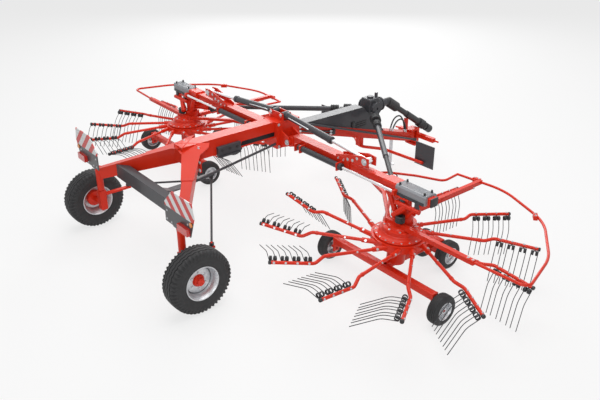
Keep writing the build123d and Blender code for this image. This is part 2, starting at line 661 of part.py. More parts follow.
def width_rod():
    y = ROTOR_Y + WIDTH_CYL_Y
    start = WIDTH_CYL_X[1] - 260
    return rod((start, y, WIDTH_CYL_Z), (WIDTH_ROD_END_X, y, WIDTH_CYL_Z), WIDTH_ROD_R)


def lift_axis():
    base = Vector(LIFT_BASE[0], ROTOR_Y, LIFT_BASE[1])
    eye = Vector(LIFT_EYE[0], ROTOR_Y, LIFT_EYE[1])
    return base, eye, (eye - base).normalized()


def lift_barrel():
    base, eye, axis = lift_axis()
    barrel = rod(base + axis * 48, base + axis * LIFT_BARREL_L, LIFT_BARREL_R)
    half = LUG_INNER_Y - MOVE_GAP
    barrel += rod(base - Vector(0, half, 0), base + Vector(0, half, 0), LIFT_EYE_R)
    barrel += rod(base, base + axis * 60, 30)
    barrel -= rod(base - Vector(0, half + 1, 0), base + Vector(0, half + 1, 0), LIFT_PIN_R + RUN_GAP)
    return barrel - rod(base + axis * 110, base + axis * (LIFT_BARREL_L + 1), LIFT_ROD_R + RUN_GAP)


def lift_rod():
    base, eye, axis = lift_axis()
    bar = rod(base + axis * (LIFT_BARREL_L - 200), eye, LIFT_ROD_R)
    half = LUG_INNER_Y - MOVE_GAP
    return bar + rod(eye - Vector(0, half - 15, 0), eye + Vector(0, half - 15, 0), LIFT_EYE_R)


def slide_arm():
    """The inner arm that carries the rotor, with the clamp box around its outer end."""
    low, high = ARM_Z - SLIDE_H / 2, ARM_Z + SLIDE_H / 2
    half = SLIDE_W / 2
    arm = block((SLIDE_START_X, ROTOR_X + ARM_END_OUT), (ROTOR_Y - half, ROTOR_Y + half), (low, high))
    clamp = block((ROTOR_X + CLAMP_X[0], ROTOR_X + CLAMP_X[1]), (ROTOR_Y - CLAMP_HALF_Y, ROTOR_Y + CLAMP_HALF_Y),
                  (low, high + CLAMP_RISE))
    arm += chamfer(clamp.edges().filter_by(Axis.X).sort_by(Axis.Z)[2:], CLAMP_RISE)
    y = ROTOR_Y + WIDTH_CYL_Y
    arm += block((WIDTH_ROD_END_X, WIDTH_ROD_END_X + 40), (y - 34, ROTOR_Y - half + 5),
                 (WIDTH_CYL_Z - 32, WIDTH_CYL_Z + 32))
    return arm


# Rotor

def rotor_place():
    return Pos(ROTOR_X, ROTOR_Y, 0)


def hub_place():
    """The leaning frame of the turning hub, with its origin in the plane of the arms."""
    return Pos(*HUB_CENTRE) * Rot(0, HUB_LEAN_Y, 0) * Rot(HUB_LEAN_X, 0, 0)


def rotor_frame():
    """Axle frame, post, cam drum, column and drive input, which don't turn."""
    low, high = AXLE_BEAM_Z
    half = AXLE_BEAM / 2
    reach = AXLE_WHEEL_X - ROTOR_TYRE_W / 2 - MOVE_GAP - 12
    frame = block((-reach, reach), (AXLE_Y - half, AXLE_Y + half), AXLE_BEAM_Z)
    nose = FRONT_WHEEL_X - ROTOR_TYRE_W / 2 - MOVE_GAP - 12
    frame += block((-half, half), (AXLE_Y, FRONT_WHEEL_Y + half), AXLE_BEAM_Z)
    for x, y in ((reach, AXLE_Y), (-reach, AXLE_Y)):
        inner = x - DROP_T if x > 0 else x
        frame += block((inner, inner + DROP_T), (y - half, y + half), (ROTOR_TYRE_R - 40, high))
        end = AXLE_WHEEL_X + 40 if x > 0 else -AXLE_WHEEL_X - 40
        frame += rod((inner + DROP_T / 2, y, ROTOR_TYRE_R), (end, y, ROTOR_TYRE_R), ROTOR_STUB_R)
    frame += block((-nose, nose), (FRONT_WHEEL_Y - half, FRONT_WHEEL_Y + half), (ROTOR_TYRE_R - 40, high))
    end = FRONT_WHEEL_X + 40
    frame += rod((-end, FRONT_WHEEL_Y, ROTOR_TYRE_R), (end, FRONT_WHEEL_Y, ROTOR_TYRE_R), ROTOR_STUB_R)
    column_top = ARM_Z - SLIDE_H / 2
    frame += column()
    frame += block((-150, 150), (-120, 120), (column_top - COLUMN_TOP_PLATE, column_top))
    end = shaft_end() - Vector(ROTOR_X, ROTOR_Y, 0)
    axis = shaft_axis()
    frame += rod(end + axis * 46, (0, 0, end.Z), 58)
    return rotor_place() * frame + cam_housing()


def column():
    """The casting over the rotor that its clamp box stands on, in the rotor's own frame."""
    low, high = CAST_Z
    casting = rod((0, 0, low), (0, 0, high), CAST_R)
    return casting + rod((0, 0, low), (0, 0, ARM_Z - SLIDE_H / 2), COLUMN_R)


def cam_housing():
    """The leaning post through the hub and the stepped housing over it."""
    foot = -(HUB_CENTRE[2] - sum(AXLE_BEAM_Z) / 2)
    housing = rod((0, 0, foot), (0, 0, HOUSING[0][2]), POST_R)
    housing += rod((0, 0, foot), (0, 0, -HUB_HALF - RUN_GAP), POST_FOOT_R)
    for radius, bottom, top in HOUSING:
        housing += rod((0, 0, bottom), (0, 0, top), radius)
    return hub_place() * housing


def shaft_end():
    """The middle of the universal joint at the rotor's drive input."""
    return Vector(ROTOR_X - 330, ROTOR_Y + 190, 1020)


def shaft_axis():
    return (shaft_end() - Vector(*SHAFT_JOINT)).normalized()


def shaft_yoke():
    """The first universal joint's yoke: it swings with the fold and forks around the tube's tongue."""
    joint = Vector(*SHAFT_JOINT)
    axis = shaft_axis()
    yoke = rod(joint + axis * 34, joint + axis * 150, SHAFT_BOOT_R)
    yoke += rod(joint - Vector(0, 24, 0), joint + Vector(0, 24, 0), 30)
    yoke += rod(joint, joint + axis * 40, 20)
    yoke -= rod(joint - Vector(0, 60, 0), joint + Vector(0, 60, 0), STEER_PIN_R + RUN_GAP)
    swing = joint + axis * SHAFT_SWING
    for z in (-SHAFT_FORK_Z, SHAFT_FORK_Z):
        rise = Vector(0, 0, z)
        half = Vector(0, 0, 5)
        yoke += beam(joint + axis * 120 + rise, swing + rise, 44, 10)
        yoke += rod(swing + rise - half, swing + rise + half, 27)
    pin = Vector(0, 0, SHAFT_FORK_Z)
    return yoke + rod(swing - pin, swing + pin, 12)


def shaft_tube():
    joint = Vector(*SHAFT_JOINT)
    axis = shaft_axis()
    swing = joint + axis * SHAFT_SWING
    half = Vector(0, 0, SHAFT_FORK_Z - 5 - MOVE_GAP)
    outer = rod(joint + axis * 235, joint + axis * 1360, SHAFT_TUBE_R)
    outer += rod(joint + axis * 235, joint + axis * 360, SHAFT_TUBE_R * 1.35)
    outer += rod(swing - half, swing + half, 25) + beam(swing, joint + axis * 240, 34, half.Z * 2)
    outer -= rod(swing - half * 2, swing + half * 2, 12 + RUN_GAP)
    return outer - rod(joint + axis * 420, joint + axis * 1361, SHAFT_INNER_R + RUN_GAP)


def shaft_inner():
    joint = Vector(*SHAFT_JOINT)
    axis = shaft_axis()
    length = (shaft_end() - joint).length
    inner = rod(joint + axis * 1150, joint + axis * (length - 60), SHAFT_INNER_R)
    return inner + rod(joint + axis * (length - 250), joint + axis * (length - 40), SHAFT_END_R)


def arm_turns():
    """Direction and own turn of each tine arm of the right rotor."""
    return [(FIRST_ARM_DEG + 360 / ARM_COUNT * place, turn) for place, turn in enumerate(ARM_TURN_DEG)]


def arm_place(direction, turn):
    """Where an arm drawn along X, its kink bent up, goes on the rotor."""
    return hub_place() * Rot(0, 0, direction) * Pos(0, ARM_OFFSET, 0) * Rot(-turn - KINK_DEG, 0, 0)


def tine_place(x):
    """Where a tine drawn below the origin goes on an arm drawn along X."""
    shift = KINK_SHIFT - tan(radians(BAR_LEAN_DEG)) * (x - KINK_END)
    return Pos(x, 0, shift) * Rot(0, BAR_LEAN_DEG, 0) * Rot(KINK_DEG, 0, 0)


def rotor_hub():
    hub = rod((0, 0, -HUB_HALF), (0, 0, HUB_HALF), HUB_R)
    for direction, _ in arm_turns():
        hub += Rot(0, 0, direction) * Pos(0, ARM_OFFSET, 0) * rod((SOCKET_START, 0, 0), (SOCKET_END, 0, 0), SOCKET_R)
    hub -= rod((0, 0, -HUB_HALF - 1), (0, 0, HUB_HALF + 1), POST_R + RUN_GAP)
    return hub_place() * hub


def tine_arms():
    """The twelve bent arms, each turned about its own axis."""
    tip_shift = KINK_SHIFT - tan(radians(BAR_LEAN_DEG)) * (ARM_TIP - KINK_END)
    points = [(SOCKET_END, 0, 0), (KINK_START, 0, 0), (KINK_END, 0, KINK_SHIFT), (ARM_TIP, 0, tip_shift)]
    arm = pipe(points, (KINK_FILLET, KINK_FILLET), TINE_ARM_R).solid()
    return Compound([arm.moved(arm_place(direction, turn)) for direction, turn in arm_turns()])


def double_tine():
    """Two spring legs with their coils and the clamp between them, below a bar along X."""
    tine = block((-16, 16), (-14, 14), (-COIL_DROP - 20, -TINE_ARM_R - RUN_GAP))
    for side in (-1, 1):
        inner, outer = side * 15, side * (15 + COIL_LENGTH)
        tine += tube((inner, 0, -COIL_DROP), (outer, 0, -COIL_DROP), COIL_R, COIL_BORE_R)
        x = side * TINE_HALF_PITCH
        start = (x, -(COIL_R - TINE_WIRE_R), -COIL_DROP)
        knee = (x, -TINE_KNEE[0], -TINE_KNEE[1])
        tip = (x, -TINE_TIP[0], -TINE_TIP[1])
        tine += pipe([start, knee, tip], (60,), TINE_WIRE_R)
    return tine.solid()


def tines():
    template = double_tine()
    pieces = []
    for direction, turn in arm_turns():
        for x in TINE_X:
            pieces.append(template.moved(arm_place(direction, turn) * tine_place(x)))
    return Compound(pieces)


def rotor_wheel():
    """Tyre and rim of a rotor wheel about the origin."""
    half = ROTOR_TYRE_W / 2
    tyre = turned([(-half, ROTOR_TYRE_R - 45), (-half + 32, ROTOR_TYRE_R), (half - 32, ROTOR_TYRE_R),
                   (half, ROTOR_TYRE_R - 45), (half - 10, ROTOR_RIM_R), (-half + 10, ROTOR_RIM_R)])
    bore = ROTOR_STUB_R + RUN_GAP
    rim = turned([(-half + 8, ROTOR_RIM_R - RUN_GAP), (half - 8, ROTOR_RIM_R - RUN_GAP), (half - 8, ROTOR_RIM_R - 12),
                  (20, ROTOR_RIM_R - 22), (20, 45), (46, 40), (46, bore), (-46, bore), (-46, 40), (-6, 45),
                  (-6, ROTOR_RIM_R - 22), (-half + 8, ROTOR_RIM_R - 12)])
    return [tyre.solid(), rim.solid()]


def rotor_wheels(x, y):
    place = rotor_place() * Pos(x, y, ROTOR_TYRE_R)
    return Compound([solid.moved(place) for solid in rotor_wheel()])


def rotor_front_wheels():
    pieces = []
    for side in (-1, 1):
        place = rotor_place() * Pos(side * FRONT_WHEEL_X, FRONT_WHEEL_Y, ROTOR_TYRE_R)
        pieces += [solid.moved(place) for solid in rotor_wheel()]
    return Compound(pieces)


def at_guard_height(table):
    return [(x, y, GUARD_Z) for x, y, _ in table], [radius for _, _, radius in table[1:-1]]


def guard():
    """The hoop in front of and beside the rotor, with the beams that carry it."""
    half = GUARD_BEAM / 2
    z = GUARD_Z - half, GUARD_Z + half
    frame = block(GUARD_SIDE_X, (GUARD_SIDE_Y - half, GUARD_SIDE_Y + half), z)
    frame += block((GUARD_FRONT_X - half, GUARD_FRONT_X + half), GUARD_FRONT_Y, z)
    frame += pipe(*at_guard_height(HOOP), HOOP_R)
    frame += pipe(*at_guard_height(TAIL), HOOP_R)
    for start, end in zip(INNER_BAR, INNER_BAR[1:]):
        frame += beam((*start, GUARD_Z), (*end, GUARD_Z), GUARD_BEAM * 0.8, GUARD_BEAM * 0.8)
    frame += rod((*INNER_BAR[1], GUARD_Z - half * 0.8), (*INNER_BAR[1], GUARD_Z + half * 0.8), half * 0.8)
    frame += rod((0, 0, CAST_Z[0]), (0, 0, GUARD_Z - half + 5), GUARD_PLATE_R)
    return rotor_place() * (frame - column()) - cam_housing()


def side_nodes():
    """Nodes of the right side, without their side's name."""
    return {
        "lift_arm": lift_arm(),
        "width_barrel": width_barrel(),
        "width_rod": width_rod(),
        "lift_barrel": lift_barrel(),
        "lift_rod": lift_rod(),
        "slide_arm": slide_arm(),
        "rotor_frame": rotor_frame(),
        "guard": guard(),
        "shaft_yoke": shaft_yoke(),
        "shaft_tube": shaft_tube(),
        "shaft_inner": shaft_inner(),
        "rotor_hub": rotor_hub(),
        "tine_arms": tine_arms(),
        "tines": tines(),
        "inner_wheel": rotor_wheels(-AXLE_WHEEL_X, AXLE_Y),
        "outer_wheel": rotor_wheels(AXLE_WHEEL_X, AXLE_Y),
        "front_wheels": rotor_front_wheels(),
        "knuckle": knuckle(),
        "rear_tyre": rear_wheel()[0],
        "rear_rim": rear_wheel()[1],
    }


def centre_nodes():
    high_z = RELAY_PLATE_Z[0] - MOVE_GAP - TIE_EYE_H / 2
    low_z = high_z - 2 * MOVE_GAP - TIE_EYE_H
    return {
        "rear_beam": rear_beam(),
        "hinge_frame": hinge_frame(),
        "drawbar": drawbar(),
        "fork_legs": both(fork_leg()),
        "rear_crossbar": rear_crossbar(),
        "relay_lever": relay_lever(),
        "right_tie_rod": tie_rod(1, high_z),
        "left_tie_rod": tie_rod(-1, low_z),
        "rear_steering_rod": steering_rod(rear_rod_eye(), REAR_ROD_NODE),
        "front_steering_rod": steering_rod(front_rod_eye(), FRONT_ROD_NODE),
        "headstock": headstock(),
        "parking_stand": parking_stand(),
        "gearbox_cover": gearbox_cover(),
        "central_gearbox": central_gearbox(),
        "pto_shaft": pto_shaft(),
        "rear_boards": both(rear_board()),
        "tail_lamps": both(tail_lamp()),
        "front_board_tube": front_board_tube(),
        "front_boards": both(front_board()),
    }


def main():
    os.makedirs("parts", exist_ok=True)
    nodes = centre_nodes()
    for name, shape in side_nodes().items():
        nodes["right_" + name] = shape
        nodes["left_" + name] = mirrored(shape)
    for name, shape in nodes.items():
        export_step(shape, f"parts/{name}.step")


if __name__ == "__main__":
    main()
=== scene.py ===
import json
from math import cos, pi, radians, sin, tan, tau

import bmesh
import bpy
from mathutils import Matrix, Vector


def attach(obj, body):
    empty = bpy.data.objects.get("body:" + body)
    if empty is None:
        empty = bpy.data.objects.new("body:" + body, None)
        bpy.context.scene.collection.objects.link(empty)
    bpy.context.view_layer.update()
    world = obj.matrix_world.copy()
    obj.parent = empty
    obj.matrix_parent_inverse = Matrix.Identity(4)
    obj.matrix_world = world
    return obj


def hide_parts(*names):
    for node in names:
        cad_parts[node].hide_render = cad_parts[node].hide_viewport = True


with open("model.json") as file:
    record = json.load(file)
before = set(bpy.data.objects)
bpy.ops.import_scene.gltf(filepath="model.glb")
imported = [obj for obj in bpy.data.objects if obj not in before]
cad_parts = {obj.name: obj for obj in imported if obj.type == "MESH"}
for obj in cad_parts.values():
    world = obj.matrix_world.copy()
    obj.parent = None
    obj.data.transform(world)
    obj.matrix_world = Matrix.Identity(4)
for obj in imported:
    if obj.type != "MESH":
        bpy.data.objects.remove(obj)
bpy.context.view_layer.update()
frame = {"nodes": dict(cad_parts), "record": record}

# Twin rotor hay rake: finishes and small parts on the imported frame.
# Metres. X to the machine's right, Y forward, Z up. The left side mirrors the right.

# Rear wheels
REAR_WHEEL = Vector((1.372, -2.587, 0.408))

# Rotors and their tine arms
ROTOR = Vector((2.414, -0.284, 0.0))
HUB = Vector((2.438, -0.387, 0.650))
HUB_LEAN_X_DEG = -1.0
HUB_LEAN_Y_DEG = 2.8
ARM_COUNT = 12
FIRST_ARM_DEG = 158.4
ARM_OFFSET = 0.198
ARM_R = 0.021
ARM_TIP = 1.676
KINK_START = 1.025
KINK_END = 1.142
KINK_SHIFT = 0.070
KINK_DEG = 81.0
BAR_LEAN_DEG = 9.0
SOCKET_END = 0.420
SOCKET_R = 0.031
ARM_TURN_DEG = (5.0, 32.0, 65.0, 69.0, 71.0, 59.0, 25.0, 3.0, 0.0, 0.0, 0.0, 0.0)
TINE_X = (1.216, 1.353, 1.490, 1.627)
TINE_WIRE_R = 0.0048
COIL_TURNS = 3
COIL_STEP = 0.0095
COIL_INNER_X = 0.011
COIL_MID_R = 0.027
COIL_SHIFT = 0.040
COIL_DROP = 0.040
TINE_KNEE = (0.093, 0.192)
TINE_TIP = (0.102, 0.553)

# Rotor wheels, in the rotor's own frame
AXLE_WHEEL = (0.940, -0.330)
FRONT_WHEEL = (0.195, 0.660)
ROTOR_TYRE_R = 0.190

# Drive shafts, from the gearbox's joint to the rotor's input
SHAFT_START = Vector((0.240, 1.361, 1.159))
SHAFT_END = ROTOR + Vector((-0.330, 0.190, 1.020))
SHAFT_WAY = (SHAFT_END - SHAFT_START).normalized()
SHAFT_LENGTH = (SHAFT_END - SHAFT_START).length
PTO_REAR = Vector((0.0, 1.876, 1.240))
PTO_FRONT = Vector((0.0, 2.970, 0.500))

# Lift arms and their cylinders
HINGE = Vector((0.310, ROTOR.y, 1.215))
LIFT_BASE = Vector((0.110, ROTOR.y, 1.540))
LIFT_EYE = Vector((1.770, ROTOR.y, 1.395))
LIFT_BARREL_L = 0.980
LIFT_BARREL_R = 0.046
LIFT_PIPE_END = 0.560
LUG_FACE = 0.070
WIDTH_CYLINDER_END = Vector((1.420, ROTOR.y - 0.122, 1.222))
WIDTH_BARREL_R = 0.040
ARM_Z = 1.240
SLIDE_HALF_W = 0.056
SLIDE_HALF_H = 0.051
SLIDE_END = 2.644

# Camera of the photograph
CAMERA_PLACE = (7.4322, -6.0201, 4.8808)
CAMERA_PITCH_DEG = 26.681
CAMERA_YAW_DEG = 50.654
CAMERA_LENS = 42.32


class Nodes:
    """A node tree that is built one node at a time."""

    def __init__(self, tree):
        self.tree = tree
        tree.nodes.clear()

    def put(self, socket, value):
        """Gives an input a plain value, or what a wire or another node's output holds."""
        value = getattr(value, "socket", value)
        if isinstance(value, bpy.types.NodeSocket):
            self.tree.links.new(value, socket)
        else:
            socket.default_value = value

    def node(self, kind, settings=None, inputs=None, output=0):
        """Adds a node and returns one of its outputs, if it has any."""
        made = self.tree.nodes.new(kind)
        for name, value in (settings or {}).items():
            setattr(made, name, value)
        for name, value in (inputs or {}).items():
            self.put(made.inputs[name], value)
        return made.outputs[output] if made.outputs else None


class Wire:
    """A value in a material's nodes. Sums written with it add Math nodes."""

    def __init__(self, finish, socket):
        self.finish = finish
        self.socket = socket

    def math(self, operation, other=0.0):
        return self.finish.node("ShaderNodeMath", {"operation": operation}, {0: self, 1: other})

    def __add__(self, other):
        return self.math("ADD", other)

    def __sub__(self, other):
        return self.math("SUBTRACT", other)

    def __mul__(self, other):
        return self.math("MULTIPLY", other)

    def __truediv__(self, other):
        return self.math("DIVIDE", other)

    def __gt__(self, other):
        return self.math("GREATER_THAN", other)

    def __lt__(self, other):
        return self.math("LESS_THAN", other)

    def __abs__(self):
        return self.math("ABSOLUTE")

    def fraction(self):
        return self.math("FRACT")


class Finish(Nodes):
    """A procedural material read in Object coordinates."""

    def __init__(self, name):
        self.material = bpy.data.materials.new(name)
        self.material.use_nodes = True
        super().__init__(self.material.node_tree)
        self.shader = self.tree.nodes.new("ShaderNodeBsdfPrincipled")
        super().node("ShaderNodeOutputMaterial", None, {0: self.shader.outputs[0]})
        self.place = self.node("ShaderNodeTexCoord", output="Object")

    def node(self, *details, **named):
        return Wire(self, super().node(*details, **named))

    def surface(self, **sockets):
        """Sets the shader's sockets, named with _ for each space."""
        for name, value in sockets.items():
            self.put(self.shader.inputs[name.replace("_", " ")], value)
        return self.material

    def xyz(self):
        return [self.node("ShaderNodeSeparateXYZ", None, {0: self.place}, axis) for axis in range(3)]

    def noise(self, scale, detail=2.0):
        inputs = {"Vector": self.place, "Scale": scale, "Detail": detail}
        return self.node("ShaderNodeTexNoise", None, inputs)

    def cells(self, scale):
        """Cells with a grey of their own each."""
        colour = self.node("ShaderNodeTexVoronoi", None, {"Vector": self.place, "Scale": scale}, "Color")
        return self.node("ShaderNodeRGBToBW", None, {0: colour})

    def between(self, value, low, high):
        """Maps a value from 0..1 to another span, kept inside it."""
        inputs = {"Value": value, "To Min": low, "To Max": high}
        return self.node("ShaderNodeMapRange", {"clamp": True}, inputs)

    def blend(self, factor, first, second):
        """Mixes two colours, given as RGB or as a wire."""
        pair = [colour if isinstance(colour, Wire) else (*colour, 1.0) for colour in (first, second)]
        return self.node("ShaderNodeMix", {"data_type": "RGBA"}, {0: factor, 6: pair[0], 7: pair[1]}, 2)

    def bump(self, height, strength, distance):
        inputs = {"Height": height, "Strength": strength, "Distance": distance}
        return self.node("ShaderNodeBump", None, inputs)


def shade(colour, amount):
    return tuple(channel * amount for channel in colour)


def gloss_paint(name, colour, dusty, marks=None):
    """Sprayed paint: cloudiness, orange peel and a veil of dust low down. marks may repaint a part of it."""
    finish = Finish(name)
    cloud = finish.noise(2.3, 3.0)
    tone = finish.blend(cloud, shade(colour, 0.90), shade(colour, 1.08))
    if marks:
        tone = marks(finish, tone)
    height = finish.xyz()[2]
    veil = finish.between(finish.noise(9.0, 4.0) - height * 1.6, 0.0, dusty)
    tone = finish.blend(veil, tone, (0.42, 0.33, 0.26))
    peel = finish.noise(420.0, 1.0)
    return finish.surface(
        Base_Color=tone,
        Roughness=finish.between(finish.noise(14.0, 3.0), 0.30, 0.46),
        Specular_IOR_Level=0.16,
        Coat_Weight=0.22,
        Coat_Roughness=0.10,
        Normal=finish.bump(peel, 0.05, 0.0006),
    )


def zinc_plate(name, colour, scale):
    """Galvanised or silver-lacquered steel with a faint spangle."""
    finish = Finish(name)
    spangle = finish.cells(scale)
    tone = finish.blend(spangle, shade(colour, 0.82), shade(colour, 1.06))
    return finish.surface(
        Base_Color=tone,
        Metallic=0.85,
        Roughness=finish.between(finish.noise(30.0, 3.0) * 0.6 + spangle * 0.4, 0.28, 0.48),
        Normal=finish.bump(finish.noise(160.0, 2.0), 0.06, 0.0008),
    )


def plain_finish(name, tones, cloud, cloud_most, rough, rough_noise, metal=0.0, grain=None):
    """Two tones in clouds, a span of roughness and a grain of noise scale, detail, strength and depth."""
    finish = Finish(name)
    tone = finish.blend(finish.between(finish.noise(*cloud), 0.0, cloud_most), *tones)
    roughness = finish.between(finish.noise(*rough_noise), *rough)
    if grain:
        scale, detail, strength, depth = grain
        finish.surface(Normal=finish.bump(finish.noise(scale, detail), strength, depth))
    return finish.surface(Base_Color=tone, Metallic=metal, Roughness=roughness)


def rubber(name):
    """Tyre rubber: near black, dull, with pores and a grey bloom."""
    tones = ((0.017, 0.017, 0.018), (0.040, 0.040, 0.042))
    grain = (330.0, 2.0, 0.18, 0.0012)
    return plain_finish(name, tones, (7.0, 4.0), 0.55, (0.55, 0.80), (18.0, 3.0), grain=grain)


def spring_steel(name):
    """Oil-hardened wire: dark, a little blue, streaked."""
    tones = ((0.028, 0.029, 0.032), (0.062, 0.063, 0.068))
    return plain_finish(name, tones, (90.0, 3.0), 1.0, (0.40, 0.58), (90.0, 3.0), 0.30)


def chrome_rod(name):
    tones = ((0.70, 0.71, 0.73), (0.86, 0.86, 0.87))
    return plain_finish(name, tones, (60.0, 3.0), 1.0, (0.10, 0.20), (60.0, 3.0), 1.0)


def moulded_plastic(name, colour):
    """Moulded plastic with a fine grain."""
    tones = (shade(colour, 0.85), shade(colour, 1.15))
    grain = (700.0, 1.0, 0.12, 0.0005)
    return plain_finish(name, tones, (5.0, 3.0), 1.0, (0.38, 0.56), (22.0, 2.0), grain=grain)


BOARD_SPLIT_Z = 1.215
STRIPE_PITCH = 0.215


def striped_board(name):
    """Reflective sheet in slanting red and white bands above a dark steel plate."""
    finish = Finish(name)
    x, _, z = finish.xyz()
    band = ((abs(x) + z) / STRIPE_PITCH).fraction() > 0.5
    beads = finish.cells(420.0)
    white = finish.blend(beads, (0.66, 0.67, 0.68), (0.80, 0.80, 0.80))
    red = finish.blend(beads, (0.55, 0.012, 0.010), (0.68, 0.022, 0.016))
    sheet = finish.blend(band, white, red)
    tone = finish.blend(z > BOARD_SPLIT_Z, (0.055, 0.055, 0.060), sheet)
    return finish.surface(
        Base_Color=tone,
        Roughness=finish.between(finish.noise(25.0, 2.0), 0.26, 0.42),
        Normal=finish.bump(beads, 0.06, 0.0004),
    )


LENS_RIB = 0.009


def ribbed_lens(name, colour):
    """Moulded lamp lens with upright ribs."""
    finish = Finish(name)
    x = finish.xyz()[0]
    rib = abs((abs(x) / LENS_RIB).fraction() - 0.5)
    tone = finish.blend(finish.noise(8.0, 2.0), shade(colour, 0.8), shade(colour, 1.15))
    return finish.surface(
        Base_Color=tone,
        Roughness=finish.between(rib, 0.10, 0.22),
        Coat_Weight=0.5,
        Normal=finish.bump(rib, 0.5, 0.002),
    )


# The beam's plain dark band and its grey lower fittings
BAND_X = 0.0985
BAND_Y = (-1.055, -0.480)
BAND_Z = (1.258, 1.322)
BAND_SLANT = 0.6
FOOT_Z = 1.000


def beam_marks(finish, tone):
    """The dark band along the beam's sides, and the dark foot and brace under its rear end."""
    x, y, z = finish.xyz()
    slant = y - z * BAND_SLANT
    start, end = [y_end - BAND_Z[0] * BAND_SLANT for y_end in BAND_Y]
    band = (abs(x) > BAND_X) * (slant > start) * (slant < end) * (z > BAND_Z[0]) * (z < BAND_Z[1])
    tone = finish.blend(band, tone, (0.012, 0.012, 0.014))
    return finish.blend(z < FOOT_Z, tone, (0.120, 0.124, 0.136))


RED = (0.710, 0.030, 0.009)
DARK = (0.060, 0.061, 0.068)
finishes = {
    "red_paint": gloss_paint("orange_red_paint", RED, 0.10),
    "dark_paint": gloss_paint("slate_paint", DARK, 0.08),
    "zinc": zinc_plate("zinc_plate", (0.62, 0.63, 0.65), 55.0),
    "tyre": rubber("tyre_rubber"),
    "tine_steel": spring_steel("tine_wire"),
    "chrome": chrome_rod("chromed_rod"),
    "black_plastic": moulded_plastic("black_guard_plastic", (0.020, 0.020, 0.022)),
    "board": striped_board("warning_board"),
    "lamp": ribbed_lens("tail_lens", (0.62, 0.020, 0.012)),
}
amber_lens = ribbed_lens("amber_lens", (0.80, 0.24, 0.010))
beam_paint = gloss_paint("banded_red_paint", RED, 0.10, beam_marks)
cover_grey = gloss_paint("grey_cover_paint", (0.300, 0.310, 0.330), 0.06)


# Pieces

SMOOTH_DEG = 35.0


def linked(name, data):
    """An object of the scene made of a mesh, a curve, a lamp or a camera."""
    made = bpy.data.objects.new(name, data)
    bpy.context.scene.collection.objects.link(made)
    return made


def new_piece(name, mesh, material, body):
    """Puts a finished mesh on a body of the machine."""
    mesh.materials.clear()
    mesh.materials.append(material)
    mesh.shade_smooth()
    mesh.set_sharp_from_angle(angle=radians(SMOOTH_DEG))
    piece = linked(name, mesh)
    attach(piece, body)
    return piece


def mirrored(mesh):
    """The same mesh on the machine's left side."""
    copy = mesh.copy()
    copy.transform(Matrix.Scale(-1, 4, (1, 0, 0)))
    copy.flip_normals()
    return copy


def pair(name, mesh, slot, body, nodes=(), material=None):
    """A piece on the right side and its mirror image on the left, standing for the nodes named."""
    material = material or finishes[slot]
    left_mesh = mirrored(mesh)
    for side, made in (("right", mesh), ("left", left_mesh)):
        piece = new_piece(f"{side}_{name}", made, material, f"{side}_{body}")
        if nodes:
            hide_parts(*[f"{side}_{node}" for node in nodes])


def as_mesh(name, shape):
    """Makes a mesh of a bmesh, with its faces outwards."""
    bmesh.ops.recalc_face_normals(shape, faces=shape.faces)
    mesh = bpy.data.meshes.new(name)
    shape.to_mesh(mesh)
    shape.free()
    return mesh


def revolved(name, profile, segments, wobble=None):
    """A closed ring about X from (x, radius) points. wobble(row, x, radius, step) may shift a point."""
    shape = bmesh.new()
    rings = []
    for step in range(segments):
        angle = tau * step / segments
        ring = []
        for row, (x, radius) in enumerate(profile):
            if wobble:
                x, radius = wobble(row, x, radius, step)
            ring.append(shape.verts.new((x, radius * cos(angle), radius * sin(angle))))
        rings.append(ring)
    rows = len(profile)
    for ring, after in zip(rings, rings[1:] + rings[:1]):
        for row in range(rows):
            follow = (row + 1) % rows
            shape.faces.new((ring[row], ring[follow], after[follow], after[row]))
    return as_mesh(name, shape)


def joined(name, *meshes):
    """One mesh of several, each given as (mesh, place)."""
    shape = bmesh.new()
    for mesh, place in meshes:
        copy = mesh.copy()
        copy.transform(place)
        shape.from_mesh(copy)
        bpy.data.meshes.remove(copy)
    made = bpy.data.meshes.new(name)
    shape.to_mesh(made)
    shape.free()
    return made


def merged(name, meshes):
    """One mesh of several that stay where they are."""
    return joined(name, *[(mesh, Matrix()) for mesh in meshes])


def alone(name, mesh, slot, body="chassis", material=None):
    return new_piece(name, mesh, material or finishes[slot], body)


def along(start, end):
    """A place with its X from one point towards another."""
    start, end = Vector(start), Vector(end)
    return Matrix.Translation(start) @ (end - start).to_track_quat("X", "Z").to_matrix().to_4x4()


def box_mesh(name, x, y, z, edge=0.003):
    """A block between two values on each axis, its edges rounded."""
    shape = bmesh.new()
    bmesh.ops.create_cube(shape, size=1.0)
    for vert in shape.verts:
        spans = zip(vert.co, (x, y, z))
        vert.co = Vector([low + (share + 0.5) * (high - low) for share, (low, high) in spans])
    bmesh.ops.bevel(shape, geom=shape.edges[:], offset=edge, segments=2, affect="EDGES", profile=0.5)
    return as_mesh(name, shape)


ROD_CORE = 0.0005


def rod_mesh(name, start, end, radius, segments=24):
    """A round bar between two points, its rims broken."""
    length = (Vector(end) - Vector(start)).length
    rim = min(0.003, radius * 0.2)
    profile = [(0.0, ROD_CORE), (0.0, radius - rim), (rim, radius)]
    profile += [(length - x, r) for x, r in reversed(profile)]
    bar = revolved(name, profile, segments)
    bar.transform(along(start, end))
    return bar


def bellows(name, length, folds, valley, crest, bore):
    """A ribbed boot along X from the origin."""
    profile = [(0.0, bore), (0.0, valley)]
    pitch = length / folds
    for fold in range(folds):
        for share, radius in ((0.35, crest), (0.65, crest), (1, valley)):
            profile.append(((fold + share) * pitch, radius))
    return revolved(name, profile + [(length, bore)], 36)


